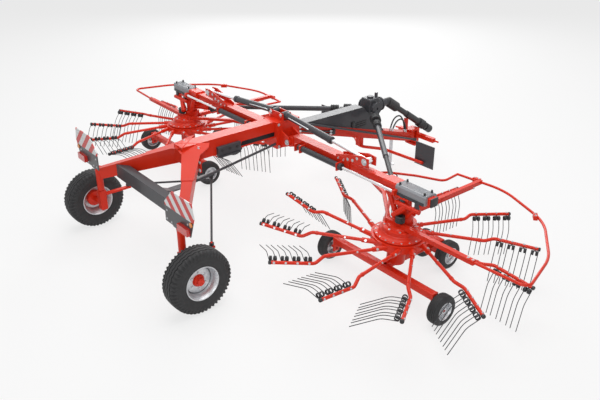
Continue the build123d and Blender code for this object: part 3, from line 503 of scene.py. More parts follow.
def extruded(name, outline, x):
    """A bar along X with an outline of (y, z) points."""
    shape = bmesh.new()
    ends = [[shape.verts.new((value, y, z)) for y, z in outline] for value in x]
    shape.faces.new(ends[0])
    shape.faces.new(ends[1])
    for order in range(len(outline)):
        after = (order + 1) % len(outline)
        shape.faces.new((ends[0][order], ends[0][after], ends[1][after], ends[1][order]))
    return as_mesh(name, shape)


def flat_plate(name, outline, thick):
    """A sheet with an outline of (x, y) points, its foot at z 0."""
    sheet = extruded(name, [(-y, x) for x, y in outline], (0.0, thick))
    sheet.transform(Matrix(((0, 0, 1, 0), (0, -1, 0, 0), (1, 0, 0, 0), (0, 0, 0, 1))))
    return sheet


# Geometry Nodes

class Tree(Nodes):
    """A Geometry Nodes tree with named inputs."""

    def __init__(self, name, inputs):
        super().__init__(bpy.data.node_groups.new(name, "GeometryNodeTree"))
        self.names = {}
        face = self.tree.interface
        face.new_socket("Geometry", in_out="INPUT", socket_type="NodeSocketGeometry")
        for label, kind in inputs.items():
            self.names[label] = face.new_socket(label, in_out="INPUT", socket_type=kind).identifier
        face.new_socket("Geometry", in_out="OUTPUT", socket_type="NodeSocketGeometry")
        self.input = self.tree.nodes.new("NodeGroupInput")

    def named(self, name, kind):
        """A value that each point carries."""
        return self.node("GeometryNodeInputNamedAttribute", {"data_type": kind}, {"Name": name})

    def finish(self, shape, inputs):
        """Puts the shape on each point and ends the tree in plain mesh of one material."""
        inputs = {"Points": self.input.outputs["Geometry"], "Instance": shape, **inputs}
        placed = self.node("GeometryNodeInstanceOnPoints", None, inputs)
        real = self.node("GeometryNodeRealizeInstances", None, {0: placed})
        painted = self.node("GeometryNodeSetMaterial", None, {0: real, 2: self.input.outputs["Material"]})
        self.node("NodeGroupOutput", None, {0: painted})


def final_mesh(carrier):
    """The plain mesh of an object as it shows. The object goes."""
    graph = bpy.context.evaluated_depsgraph_get()
    mesh = bpy.data.meshes.new_from_object(carrier.evaluated_get(graph))
    bpy.data.objects.remove(carrier)
    return mesh


def grown(tree, name, base, values):
    """The plain mesh that a tree makes of a base mesh."""
    carrier = linked(name, base)
    modifier = carrier.modifiers.new("grow", "NODES")
    modifier.node_group = tree.tree
    for label, value in values.items():
        modifier[tree.names[label]] = value
    return final_mesh(carrier)


def point_cloud(name, places):
    """Loose points with the way each one faces and its size. places holds (position, facing, size)."""
    mesh = bpy.data.meshes.new(name)
    mesh.from_pydata([position for position, _, _ in places], [], [])
    mesh.attributes.new("facing", "FLOAT_VECTOR", "POINT")
    mesh.attributes.new("size", "FLOAT", "POINT")
    # Adding an attribute moves those before it, so both are looked up again
    for index, (_, facing, size) in enumerate(places):
        mesh.attributes["facing"].data[index].vector = Vector(facing)
        mesh.attributes["size"].data[index].value = size
    return mesh


def bolt_tree():
    """Hexagon bolt heads on their washers, one at each point, standing along its facing."""
    tree = Tree("bolt_heads", {"Material": "NodeSocketMaterial", "Head height": "NodeSocketFloat"})
    height = tree.input.outputs["Head height"]
    half = tree.node("ShaderNodeMath", {"operation": "MULTIPLY"}, {0: height, 1: 0.5})
    lift = tree.node("ShaderNodeCombineXYZ", None, {2: half})
    hexagon = {"Vertices": 6, "Radius": 1.0, "Depth": height}
    head = tree.node("GeometryNodeMeshCylinder", None, hexagon)
    head = tree.node("GeometryNodeTransform", None, {"Geometry": head, "Translation": lift})
    disc = {"Vertices": 16, "Radius": 1.5, "Depth": 0.5}
    washer = tree.node("GeometryNodeMeshCylinder", None, disc)
    both = tree.tree.nodes.new("GeometryNodeJoinGeometry")
    for part in (head, washer):
        tree.put(both.inputs[0], part)
    facing = tree.named("facing", "FLOAT_VECTOR")
    turn = tree.node("FunctionNodeAlignRotationToVector", {"axis": "Z"}, {"Vector": facing})
    tree.finish(both.outputs[0], {"Rotation": turn, "Scale": tree.named("size", "FLOAT")})
    return tree


bolts = bolt_tree()


def bolt_mesh(name, places, height=0.75, slot="zinc"):
    values = {"Material": finishes[slot], "Head height": height}
    return grown(bolts, name, point_cloud(name, places), values)


def bolt_pair(name, places, body, height=0.75, slot="zinc"):
    pair(name, bolt_mesh(name, places, height, slot), slot, body)


def bolts_alone(name, places, height=0.75, slot="zinc"):
    alone(name, bolt_mesh(name, places, height, slot), slot)


def copies_tree():
    """Copies of one object at points, each turned by the point's own rotation."""
    tree = Tree("copies", {"Material": "NodeSocketMaterial", "Copied": "NodeSocketObject"})
    shape = tree.node("GeometryNodeObjectInfo", None, {"Object": tree.input.outputs["Copied"]}, "Geometry")
    tree.finish(shape, {"Rotation": tree.named("turn", "QUATERNION")})
    return tree


copies = copies_tree()


def copied_mesh(name, template, places, slot):
    """One mesh of a template put at each of the places, given as matrices."""
    cloud = bpy.data.meshes.new(name)
    cloud.from_pydata([place.translation for place in places], [], [])
    turn = cloud.attributes.new("turn", "QUATERNION", "POINT")
    for index, place in enumerate(places):
        turn.data[index].value = place.to_quaternion()
    carrier = linked(name + "_template", template)
    mesh = grown(copies, name, cloud, {"Material": finishes[slot], "Copied": carrier})
    bpy.data.objects.remove(carrier)
    return mesh


def rotor_copies(name, template, places, slot, nodes=()):
    """A template at each of the places, on both rotors."""
    pair(name, copied_mesh(name, template, places, slot), slot, "rotor", nodes)


def round_curve(name, radius, sides):
    curve = bpy.data.curves.new(name, "CURVE")
    curve.dimensions = "3D"
    curve.bevel_depth = radius
    curve.bevel_resolution = sides
    return curve


def add_spline(curve, kind, path):
    spline = curve.splines.new(kind)
    spline.points.add(len(path) - 1)
    for point, place in zip(spline.points, path):
        point.co = (*place, 1.0)
    return spline


def wire_mesh(name, paths, radius, sides=1):
    """Round wires along straight runs between points."""
    curve = round_curve(name, radius, sides)
    curve.use_fill_caps = True
    for path in paths:
        add_spline(curve, "POLY", path)
    return final_mesh(linked(name, curve))


# Tine arms and tines

HUB_PLACE = (Matrix.Translation(HUB) @ Matrix.Rotation(radians(HUB_LEAN_Y_DEG), 4, "Y")
             @ Matrix.Rotation(radians(HUB_LEAN_X_DEG), 4, "X"))


def arm_place(direction, turn):
    """Where an arm drawn along X, its kink bent up, goes on the right rotor."""
    return (HUB_PLACE @ Matrix.Rotation(radians(direction), 4, "Z") @ Matrix.Translation((0, ARM_OFFSET, 0))
            @ Matrix.Rotation(radians(-turn - KINK_DEG), 4, "X"))


def bar_place(x):
    """Where what hangs below a bar along X goes on an arm: the bar's own line, with the tines' way down."""
    shift = KINK_SHIFT - tan(radians(BAR_LEAN_DEG)) * (x - KINK_END)
    return (Matrix.Translation((x, 0, shift)) @ Matrix.Rotation(radians(BAR_LEAN_DEG), 4, "Y")
            @ Matrix.Rotation(radians(KINK_DEG), 4, "X"))


ARM_STEP_DEG = 360 / ARM_COUNT
arm_places = []
for order, turn in enumerate(ARM_TURN_DEG):
    arm_places.append(arm_place(FIRST_ARM_DEG + ARM_STEP_DEG * order, turn))
tine_places = [arm @ bar_place(x) for arm in arm_places for x in TINE_X]


def rounded_bend(before, corner, after, steps=4):
    """Points of a smooth bend in place of a corner."""
    curve = []
    for step in range(steps + 1):
        share = step / steps
        curve.append(before.lerp(corner, share).lerp(corner.lerp(after, share), share))
    return curve


COIL_STEPS = 12
COIL_LEAVES = COIL_TURNS + 0.125
KNEE_BEND = (0.35, 0.14)


def tine_wire(side):
    """One spring leg: from the clamp, round the coil, down to the knee and on to the tip."""
    middle = Vector((0, -COIL_SHIFT, -COIL_DROP))
    points = []
    # The coil starts on the bar's side, an eighth of a turn above where its leg leaves it
    for step in range(int(COIL_LEAVES * COIL_STEPS) + 2):
        turns = step / COIL_STEPS
        angle = pi / 4 - tau * min(turns, COIL_LEAVES)
        x = side * (COIL_INNER_X + COIL_STEP * min(turns, COIL_TURNS))
        points.append(middle + Vector((x, COIL_MID_R * cos(angle), COIL_MID_R * sin(angle))))
    points.insert(0, points[0] * Vector((0, 1, 1)))
    start = points[-1]
    knee = Vector((start.x, -TINE_KNEE[0], -TINE_KNEE[1]))
    tip = Vector((start.x, -TINE_TIP[0], -TINE_TIP[1]))
    above, below = KNEE_BEND
    return points + rounded_bend(knee.lerp(start, above), knee, knee.lerp(tip, below)) + [tip]


def tine_parts():
    template = wire_mesh("double_tine", [tine_wire(side) for side in (-1, 1)], TINE_WIRE_R)
    rotor_copies("spring_tines", template, tine_places, "tine_steel", ("tines",))


STRAP_HALF = 0.010
STRAP_HALF_T = 0.006
STRAP_LENGTH = 0.037
STRAP_LEAN_DEG = -45.0
BAR_BOLT = 0.0095
# Bolts on an arm: place along it, distance from its axis, size
ARM_BOLTS = ((SOCKET_END - 0.05, SOCKET_R, 0.011), (0.62, ARM_R, 0.008))
# Sections of the cap on a bar's end and of the collar before the kink: x, radius
CAP = ((0.0, 0.001), (0.0, ARM_R + 0.003), (0.022, ARM_R + 0.003), (0.028, ARM_R - 0.003), (0.028, 0.001))
CAP_OVERLAP = 0.020
COLLAR = ((-0.012, ARM_R - 0.001), (-0.012, ARM_R + 0.004), (0.012, ARM_R + 0.004), (0.012, ARM_R - 0.001))
COLLAR_X = KINK_START - 0.06


def clamp_parts():
    """What holds the tines: a strap by each pair of coils, bolt heads on the bar and the bar's end cap."""
    thick = (-STRAP_HALF_T, STRAP_HALF_T)
    strap = box_mesh("strap", (-STRAP_HALF, STRAP_HALF), thick, (-STRAP_LENGTH, 0.0), 0.002)
    strap.transform(Matrix.Rotation(radians(STRAP_LEAN_DEG), 4, "X"))
    rotor_copies("tine_clamps", strap, tine_places, "dark_paint")

    heads = []
    for place in tine_places:
        up = place.to_3x3() @ Vector((0, 0, 1))
        heads.append((place @ Vector((0, 0, ARM_R)), up, BAR_BOLT))
    for arm in arm_places:
        up = arm.to_3x3() @ bar_place(ARM_TIP).to_3x3() @ Vector((0, 0, 1))
        for x, radius, size in ARM_BOLTS:
            heads.append((arm @ Vector((x, 0, 0)) + up * radius, up, size))
    bolt_pair("arm_bolts", heads, "rotor")

    tip = bar_place(ARM_TIP) @ Matrix.Translation((-CAP_OVERLAP, 0, 0))
    rotor_copies("arm_caps", revolved("cap", CAP, 16), [arm @ tip for arm in arm_places], "black_plastic")
    collar = revolved("collar", COLLAR, 16)
    collar.transform(Matrix.Translation((COLLAR_X, 0, 0)))
    rotor_copies("arm_collars", collar, arm_places, "red_paint")


# Rotor heads

# Bolts on the cam housing: radius of their circle, height above the arms' plane, count, size
HOUSING_BOLTS = ((0.281, 0.071, 18, 0.008), (0.180, 0.162, 8, 0.010))
# Section of the cam housing from its foot round its outside: height above the arms' plane, radius
HOUSING = (
    (0.051, 0.064), (0.051, 0.296), (0.055, 0.302), (0.066, 0.302), (0.070, 0.297), (0.072, 0.262),
    (0.098, 0.225), (0.105, 0.222), (0.109, 0.214), (0.150, 0.208), (0.158, 0.200), (0.163, 0.160),
    (0.186, 0.150), (0.190, 0.064),
)
POST_R = 0.060
POST_FOOT_R = 0.115
HUB_HALF = 0.045
AXLE_BEAM_HALF = 0.045
AXLE_BEAM_Z = (0.265, 0.350)
DROP_Z = 0.150
DROP_T = 0.030
WELD_LIP = 0.002
AXLE_REACH = 0.847
FRONT_REACH = 0.102
STUB_R = 0.018
STUB_END = 0.040
COLUMN_R = 0.085
CASTING_R = 0.116
CASTING_Z = (0.760, 0.930)
COLUMN_TOP = 1.189
TOP_PLATE = (0.150, 0.120, 0.024)
INPUT_R = 0.058
INPUT_LIP = 0.046


def rotor_frames():
    """Axle frame, post, housing, column and drive input of each rotor, none of which turns."""
    half = AXLE_BEAM_HALF
    axle_x, axle_y = AXLE_WHEEL
    front_x, front_y = FRONT_WHEEL
    # The drop plates stand a little proud of the beams that they are welded to
    drop_top = AXLE_BEAM_Z[1] + WELD_LIP
    drop_half = half + WELD_LIP
    plate_x, plate_y, plate_t = TOP_PLATE
    # x, y and z spans of the blocks, in the rotor's own frame
    blocks = [
        ((-AXLE_REACH + WELD_LIP, AXLE_REACH - WELD_LIP), (axle_y - half, axle_y + half), AXLE_BEAM_Z),
        ((-half, half), (axle_y, front_y), AXLE_BEAM_Z),
        ((-FRONT_REACH, FRONT_REACH), (front_y - half, front_y + half), (DROP_Z, drop_top)),
        ((-plate_x, plate_x), (-plate_y, plate_y), (COLUMN_TOP - plate_t, COLUMN_TOP)),
    ]
    input_end = SHAFT_END - ROTOR
    # start, end and radius of the round pieces
    rounds = [
        ((-front_x - STUB_END, front_y, ROTOR_TYRE_R), (front_x + STUB_END, front_y, ROTOR_TYRE_R), STUB_R),
        ((0, 0, CASTING_Z[0]), (0, 0, CASTING_Z[1]), CASTING_R),
        ((0, 0, CASTING_Z[0]), (0, 0, COLUMN_TOP - plate_t), COLUMN_R),
        (input_end + SHAFT_WAY * INPUT_LIP, (0, 0, input_end.z), INPUT_R),
    ]
    for side in (-1, 1):
        outer, inner = side * AXLE_REACH, side * (AXLE_REACH - DROP_T)
        blocks.append((sorted((inner, outer)), (axle_y - drop_half, axle_y + drop_half), (DROP_Z, drop_top)))
        stub_end = side * (axle_x + STUB_END)
        rounds.append(((inner, axle_y, ROTOR_TYRE_R), (stub_end, axle_y, ROTOR_TYRE_R), STUB_R))
    place = Matrix.Translation(ROTOR)
    pieces = [(box_mesh("block", *spans, 0.006), place) for spans in blocks]
    pieces += [(rod_mesh("round", start, end, radius, 36), place) for start, end, radius in rounds]
    foot = sum(AXLE_BEAM_Z) / 2 - HUB.z
    pieces.append((rod_mesh("post", (0, 0, foot), (0, 0, HUB_HALF + 0.02), POST_R, 36), HUB_PLACE))
    pieces.append((rod_mesh("foot", (0, 0, foot), (0, 0, -HUB_HALF - 0.001), POST_FOOT_R, 40), HUB_PLACE))
    upright = Matrix.Rotation(radians(-90), 4, "Y")
    pieces.append((revolved("housing", HOUSING, 72), HUB_PLACE @ upright))
    pair("rotor_frame_welded", joined("frame", *pieces), "red_paint", "rotor_carrier", ("rotor_frame",))


COVER_X = (2.330, 2.800)
COVER_HALF = 0.095
COVER_Z = (1.196, 1.314)
COVER_SHOULDER = 0.022
COVER_RIBS = 9
COVER_GROOVE = 0.006
KNOB_INSET = 0.045
KNOB_Y = 0.062
KNOB = 0.013
KNOB_HEIGHT = 2.6
TIP_OVERLAP = 0.020
TIP_REACH = 0.045
TIP_CAP = (0.040, 0.062)
TIP_CAP_WALL = 0.003
# Dark lower lip and hooks of the clamp: x span, y span from the cover's near side, z span
CLAMP_LIPS = (
    ((COVER_X[0] + 0.020, COVER_X[1] - 0.020), (-0.014, 0.004), (1.190, 1.222)),
    ((COVER_X[0] + 0.100, COVER_X[0] + 0.155), (-0.022, 0.012), (1.100, 1.205)),
    ((COVER_X[1] - 0.140, COVER_X[1] - 0.085), (-0.022, 0.012), (1.100, 1.205)),
)
COLUMN_BOOT = Vector((0.075, -0.150, 0.885))
# Struts and pivot tubes of the casting: start and end in the rotor's own frame, radius
STRUTS = (
    ((-0.06, -0.07, 0.90), (-0.20, -0.075, 1.175), 0.034),
    ((0.07, -0.08, 0.90), (0.300, -0.070, 1.185), 0.028),
    ((0.06, 0.09, 0.90), (0.20, 0.075, 1.175), 0.034),
    ((-0.05, -0.115, 1.100), (0.330, -0.115, 1.100), 0.030),
    ((-0.02, -0.175, 0.945), (0.115, -0.115, 1.090), 0.036),
)


def ribbed_outline():
    """Section of the clamp's cover: upright sides, sloping shoulders and grooves along its top."""
    low, high = COVER_Z
    flat = COVER_HALF - COVER_SHOULDER
    side = [(COVER_HALF, low), (COVER_HALF, high - COVER_SHOULDER), (flat, high)]
    outline = [(-y, z) for y, z in side]
    pitch = 2 * flat / COVER_RIBS
    for rib in range(1, COVER_RIBS):
        y = -flat + rib * pitch
        for share, drop in ((-0.25, 0), (-0.125, COVER_GROOVE), (0.125, COVER_GROOVE), (0.25, 0)):
            outline.append((y + pitch * share, high - drop))
    return outline + side[::-1]


def arm_tip_block(name, x, wall, edge):
    """A block on the slide arm's line, by a wall larger than the arm all round."""
    y, z = SLIDE_HALF_W + wall, SLIDE_HALF_H + wall
    return box_mesh(name, x, (ROTOR.y - y, ROTOR.y + y), (ARM_Z - z, ARM_Z + z), edge)


def rotor_heads():
    heads = []
    up = HUB_PLACE.to_3x3() @ Vector((0, 0, 1))
    for radius, height, count, size in HOUSING_BOLTS:
        for order in range(count):
            angle = tau * order / count
            heads.append((HUB_PLACE @ Vector((radius * cos(angle), radius * sin(angle), height)), up, size))
    bolt_pair("housing_bolts", heads, "rotor_carrier")

    cover = extruded("clamp_cover", ribbed_outline(), COVER_X)
    cover.transform(Matrix.Translation((0, ROTOR.y, 0)))
    pair("clamp_cover", cover, "zinc", "rotor_carrier", material=cover_grey)
    knobs = []
    for x in (COVER_X[0] + KNOB_INSET, COVER_X[1] - KNOB_INSET):
        for y in (ROTOR.y - KNOB_Y, ROTOR.y + KNOB_Y):
            knobs.append(((x, y, COVER_Z[1] - 0.004), (0, 0, 1), KNOB))
    bolt_pair("clamp_knobs", knobs, "rotor_carrier", KNOB_HEIGHT, "black_plastic")
    end = COVER_X[1]
    tip = arm_tip_block("tip", (SLIDE_END - TIP_OVERLAP, end + TIP_REACH), 0.0, 0.006)
    pair("arm_end", tip, "red_paint", "rotor_carrier")
    cap = arm_tip_block("cap", (end + TIP_CAP[0], end + TIP_CAP[1]), TIP_CAP_WALL, 0.005)
    pair("arm_end_cap", cap, "black_plastic", "rotor_carrier")
    near = ROTOR.y - COVER_HALF
    lips = [box_mesh("lip", x, (near + out, near + back), z) for x, (out, back), z in CLAMP_LIPS]
    pair("clamp_hooks", merged("hooks", lips), "dark_paint", "rotor_carrier")
    boot = bellows("boot", 0.085, 4, 0.052, 0.060, 0.030)
    boot.transform(along(ROTOR + COLUMN_BOOT, ROTOR + COLUMN_BOOT + Vector((0, 0, 1))))
    pair("column_boot", boot, "black_plastic", "rotor_carrier")
    struts = []
    for start, end, radius in STRUTS:
        struts.append(rod_mesh("strut", ROTOR + Vector(start), ROTOR + Vector(end), radius))
    pair("column_struts", merged("struts", struts), "red_paint", "rotor_carrier")


GUARD_Z = 0.846
# Clamps on the hoop: place, then the way the tube runs
HOOP_CLAMPS = (((3.386, 1.000), (-0.64, 0.77)), ((2.270, 1.297), (0.99, 0.12)), ((3.540, -0.434), (1.0, 0.0)))
HOOP_CLAMP = ((-0.055, 0.055), (-0.027, 0.027), (-0.030, 0.030))
HOOP_BOLT_X = 0.032
LINK_X, LINK_Y, LINK_Z = 2.349, (0.060, 1.140), 0.806
LINK_R = 0.011
LINK_EYE_Y = (0.075, 1.130)
LINK_EYE_Z = (0.795, 0.822)
LINK_EYE_R = 0.020


def guard_fittings():
    collars = []
    heads = []
    for (x, y), (dx, dy) in HOOP_CLAMPS:
        place = along((x, y, GUARD_Z), (x + dx, y + dy, GUARD_Z))
        collars.append((box_mesh("clamp", *HOOP_CLAMP, 0.006), place))
        for shift in (-HOOP_BOLT_X, HOOP_BOLT_X):
            heads.append((place @ Vector((shift, 0, HOOP_CLAMP[2][1])), (0, 0, 1), 0.010))
    pair("hoop_clamps", joined("hoop_clamps", *collars), "red_paint", "rotor_carrier")
    bolt_pair("hoop_bolts", heads, "rotor_carrier")
    link = rod_mesh("link", (LINK_X, LINK_Y[0], LINK_Z), (LINK_X, LINK_Y[1], LINK_Z), LINK_R)
    pair("guard_link", link, "red_paint", "rotor_carrier")
    low, high = LINK_EYE_Z
    eyes = [rod_mesh("eye", (LINK_X, y, low), (LINK_X, y, high), LINK_EYE_R) for y in LINK_EYE_Y]
    pair("guard_link_eyes", merged("eyes", eyes), "zinc", "rotor_carrier")


# Drive line

# Boots along a drive shaft: name, body, start, length, folds, valley radius, crest radius
SHAFT_BOOTS = (
    ("yoke_boot", "shaft_yoke", 0.033, 0.119, 5, 0.072, 0.082),
    ("tube_boot", "shaft_tube", 0.234, 0.128, 5, 0.056, 0.066),
    ("inner_boot", "shaft_inner", SHAFT_LENGTH - 0.252, 0.150, 6, 0.055, 0.065),
)
SHAFT_BORE = 0.030
# Section of the bell at a drive shaft's outer end: x, radius
BELL = ((0.0, 0.050), (0.0, 0.066), (0.060, 0.074), (0.120, 0.092), (0.122, 0.088), (0.060, 0.070))
BELL_START = SHAFT_LENGTH - 0.105
# Boots along the tractor's shaft: start, length, folds, valley radius, crest radius
PTO_BOOTS = ((0.010, 0.250, 8, 0.070, 0.080), (0.945, 0.160, 5, 0.068, 0.078))
PTO_BORE = 0.040
PTO_RING = ((-0.01, 0.058), (-0.01, 0.070), (0.02, 0.070), (0.02, 0.058))
PTO_RING_Y = 1.70


def shaft_boots():
    """Ribbed boots over the joints of both drive shafts and of the shaft to the tractor."""
    pieces = []
    for name, body, start, *sizes in SHAFT_BOOTS:
        pieces.append((name, body, start, bellows(name, *sizes, SHAFT_BORE)))
    pieces.append(("inner_bell", "shaft_inner", BELL_START, revolved("bell", BELL, 32)))
    for name, body, start, mesh in pieces:
        mesh.transform(along(SHAFT_START + SHAFT_WAY * start, SHAFT_END + SHAFT_WAY))
        pair(name, mesh, "black_plastic", body)
    run = (PTO_FRONT - PTO_REAR).normalized()
    meshes = []
    for start, *sizes in PTO_BOOTS:
        meshes.append((bellows("boot", *sizes, PTO_BORE), along(PTO_REAR + run * start, PTO_FRONT + run)))
    ring_place = along((0, PTO_RING_Y, PTO_REAR.z), (0, 2, PTO_REAR.z))
    meshes.append((revolved("ring", PTO_RING, 32), ring_place))
    alone("tractor_shaft_boots", joined("boots", *meshes), "black_plastic")


# Gearbox: round housings about an axis: start, end, radius. The first one is the cross shaft's.
GEARBOX_ROUNDS = (
    ((-0.150, 1.485, 1.245), (0.150, 1.485, 1.245), 0.082),
    ((0.0, 1.560, 1.240), (0.0, 1.690, 1.240), 0.098),
    ((0.0, 1.690, 1.240), (0.0, 1.712, 1.240), 0.110),
    ((0.0, 1.485, 1.370), (0.0, 1.485, 1.412), 0.052),
)
FLANGE = ((0.0, 0.02), (0.0, 0.094), (0.016, 0.094), (0.016, 0.02))
BRACKET = ((-0.012, 0.012), (1.585, 1.640), (1.330, 1.440))
BRACKET_BOLT = ((0.0, 1.613, 1.440), (0, 0, 1), 0.011)
# Bolts round the input: circle's radius, y, z, count, size
INPUT_BOLTS = (0.098, 1.712, 1.240, 8, 0.007)
COVER_SIDE = 0.088
# Louvres and handle on the cover's sides: thickness, y span, z span, edge
LOUVRES = (
    (0.010, (1.110, 1.330), (0.991, 1.009), 0.003),
    (0.010, (1.110, 1.330), (1.026, 1.044), 0.003),
    (0.010, (1.110, 1.330), (1.061, 1.079), 0.003),
    (0.022, (1.015, 1.075), (1.030, 1.110), 0.006),
)


def gearbox_fittings():
    rounds = [(rod_mesh("round", start, end, radius, 36), Matrix()) for start, end, radius in GEARBOX_ROUNDS]
    for x, y, z in GEARBOX_ROUNDS[0][:2]:
        rounds.append((revolved("flange", FLANGE, 36), along((x, y, z), (2 * x, y, z))))
    rounds.append((box_mesh("bracket", *BRACKET, 0.004), Matrix()))
    alone("gearbox_housings", joined("housings", *rounds), "dark_paint")
    radius, y, z, count, size = INPUT_BOLTS
    heads = [BRACKET_BOLT]
    for order in range(count):
        angle = tau * order / count
        heads.append(((radius * cos(angle), y, z + radius * sin(angle)), (0, 1, 0), size))
    bolts_alone("gearbox_bolts", heads)
    slats = []
    for side in (-1, 1):
        for thick, y, z, edge in LOUVRES:
            x = sorted((side * COVER_SIDE, side * (COVER_SIDE + thick)))
            slats.append(box_mesh("slat", x, y, z, edge))
    alone("cover_louvres", merged("louvres", slats), "black_plastic")


# Frame fittings

# Bolts on one side of the frame: x, y values, z values, facing, size
FRAME_BOLTS = (
    (0.168, (-1.742,), (1.125, 1.235, 1.345, 1.425), (0, -1, 0), 0.017),
    (0.060, (-1.742,), (1.130, 1.200), (0, -1, 0), 0.015),
    (0.150, (-0.430, -0.120), (1.110, 1.430), (1, 0, 0), 0.014),
    (HINGE.x, (ROTOR.y - 0.130,), (HINGE.z,), (0, -1, 0), 0.026),
    (HINGE.x, (ROTOR.y + 0.130,), (HINGE.z,), (0, 1, 0), 0.026),
    (LIFT_BASE.x, (ROTOR.y - 0.082,), (LIFT_BASE.z,), (0, -1, 0), 0.017),
    (LIFT_BASE.x, (ROTOR.y + 0.082,), (LIFT_BASE.z,), (0, 1, 0), 0.017),
)
# Dark guide box on the beam's right side: x, y and z spans, edge
BEAM_GUIDE = (
    ((0.100, 0.150), (-1.432, -1.068), (1.218, 1.350), 0.005),
    ((0.100, 0.168), (-1.420, -1.080), (1.205, 1.224), 0.004),
)
GUIDE_BOLT_Y = (-1.37, -1.25, -1.13)
GUIDE_BOLT_Z = 1.295
EYE_BOLT = 0.030
# Bolts on the lift arm's lugs: x, z
LUG_BOLTS = ((1.300, 1.300), (1.400, 1.300), (1.470, 1.335), (1.640, 1.400), (1.560, 1.350))
LUG_BOLT = 0.014
SLIDE_PAD = ((1.320, 1.495), (ROTOR.y - 0.0765, ROTOR.y + 0.0765), (1.1635, 1.200))


def frame_fittings():
    heads = []
    for side in (-1, 1):
        for x, ys, zs, (across, forward, up), size in FRAME_BOLTS:
            facing = (side * across, forward, up)
            heads += [((side * x, y, z), facing, size) for y in ys for z in zs]
    bolts_alone("frame_bolts", heads)
    alone("beam_guide", merged("guide", [box_mesh("guide", *spans) for spans in BEAM_GUIDE]), "dark_paint")
    face = BEAM_GUIDE[0][0][1]
    holes = [((face, y, GUIDE_BOLT_Z), (1, 0, 0), 0.014) for y in GUIDE_BOLT_Y]
    bolts_alone("beam_guide_bolts", holes, 0.5, "black_plastic")

    heads = []
    for face in (-1, 1):
        y = ROTOR.y + face * LUG_FACE
        heads.append(((LIFT_EYE.x, y, LIFT_EYE.z), (0, face, 0), EYE_BOLT))
        heads += [((x, y, z), (0, face, 0), LUG_BOLT) for x, z in LUG_BOLTS]
    bolt_pair("lug_bolts", heads, "lift_arm")
    pair("slide_pad", box_mesh("pad", *SLIDE_PAD), "black_plastic", "lift_arm")


FORK_TOP = Vector((0.060, -1.760, 1.335))
FORK_FOOT = Vector((1.050, -2.562, 0.905))
FORK_TOP_HALF_H = 0.1125
FORK_SLIM = 0.0375
# Outline of the sheet over a fork leg's upper end: along the leg, half its width
GUSSET = ((-0.060, 0.215), (0.020, 0.215), (0.160, 0.118), (0.620, 0.078))
GUSSET_T = 0.010
GUSSET_SINK = 0.002


def fork_gussets():
    outline = [(x, -half) for x, half in GUSSET] + [(x, half) for x, half in reversed(GUSSET)]
    sheet = flat_plate("gusset", outline, GUSSET_T)
    # The leg is slimmer at its foot, so its upper face slopes more than its axis
    lean = Matrix.Rotation(FORK_SLIM / (FORK_FOOT - FORK_TOP).length, 4, "Y")
    rise = Matrix.Translation((0, 0, FORK_TOP_HALF_H - GUSSET_SINK))
    sheet.transform(along(FORK_TOP, FORK_FOOT) @ rise @ lean)
    alone("fork_gussets", merged("gussets", [sheet, mirrored(sheet)]), "red_paint")


# Rings on the cylinders: x, radius
GLAND_R = LIFT_BARREL_R + 0.006
GLAND = ((-0.050, 0.030), (-0.050, GLAND_R), (0.004, GLAND_R), (0.010, 0.040), (0.010, 0.027))
FOOT_R = LIFT_BARREL_R + 0.004
FOOT = ((-0.005, 0.030), (-0.005, FOOT_R), (0.040, FOOT_R), (0.040, 0.030))
FOOT_START = 0.050
WIDTH_GLAND_R = WIDTH_BARREL_R + 0.006
WIDTH_GLAND = ((-0.045, 0.025), (-0.045, WIDTH_GLAND_R), (0.003, WIDTH_GLAND_R), (0.003, 0.025))
LIFT_PIPE_START = 0.130
LIFT_PIPE_BEND = 0.020
LIFT_PIPE_OFF = 0.012
LIFT_PIPE_R = 0.007


def cylinder_fittings():
    """Gland rings, feet and a pressure pipe on each cylinder."""
    axis = (LIFT_EYE - LIFT_BASE).normalized()
    rings = []
    for section, start in ((GLAND, LIFT_BARREL_L), (FOOT, FOOT_START)):
        rings.append((revolved("ring", section, 32), along(LIFT_BASE + axis * start, LIFT_EYE)))
    pair("lift_glands", joined("glands", *rings), "dark_paint", "lift_barrel")
    # The pipe stops short of the part of the barrel that goes between the lugs as the arm folds
    side = Vector((0, -(LIFT_BARREL_R + LIFT_PIPE_OFF), LIFT_PIPE_OFF))
    wall = Vector((0, -LIFT_BARREL_R, 0))
    bend = axis * LIFT_PIPE_BEND
    first, last = LIFT_BASE + axis * LIFT_PIPE_START, LIFT_BASE + axis * LIFT_PIPE_END
    pipe = [first + wall, first + bend + side, last - bend + side, last + wall]
    pair("lift_pipe", wire_mesh("lift_pipe", [pipe], LIFT_PIPE_R, 2), "zinc", "lift_barrel")
    mesh = revolved("width_gland", WIDTH_GLAND, 32)
    mesh.transform(Matrix.Translation(WIDTH_CYLINDER_END))
    pair("width_gland", mesh, "dark_paint", "lift_arm")


# Boards

BOARD_CORNER = (0.890, 1.010)
BOARD_FACE_Y = -2.662
# Places on a board, out and up from its corner
BOARD_BOLTS = ((0.04, 0.04), (0.14, 0.03), (0.05, 0.15), (0.30, 0.03), (0.50, 0.15))
BOARD_BOLT = 0.009
REFLECTOR = (0.575, 0.175)
REFLECTOR_R = 0.030
REFLECTOR_T = 0.012


def board_fittings():
    corner_x, corner_z = BOARD_CORNER
    reflectors = []
    heads = []
    for side in (-1, 1):
        x, z = side * (corner_x + REFLECTOR[0]), corner_z + REFLECTOR[1]
        back, front = (x, BOARD_FACE_Y, z), (x, BOARD_FACE_Y - REFLECTOR_T, z)
        reflectors.append(rod_mesh("reflector", back, front, REFLECTOR_R, 28))
        for out, up in BOARD_BOLTS:
            heads.append(((side * (corner_x + out), BOARD_FACE_Y, corner_z + up), (0, -1, 0), BOARD_BOLT))
    alone("side_reflectors", merged("reflectors", reflectors), "lamp", material=amber_lens)
    bolts_alone("board_bolts", heads)


# Hoses

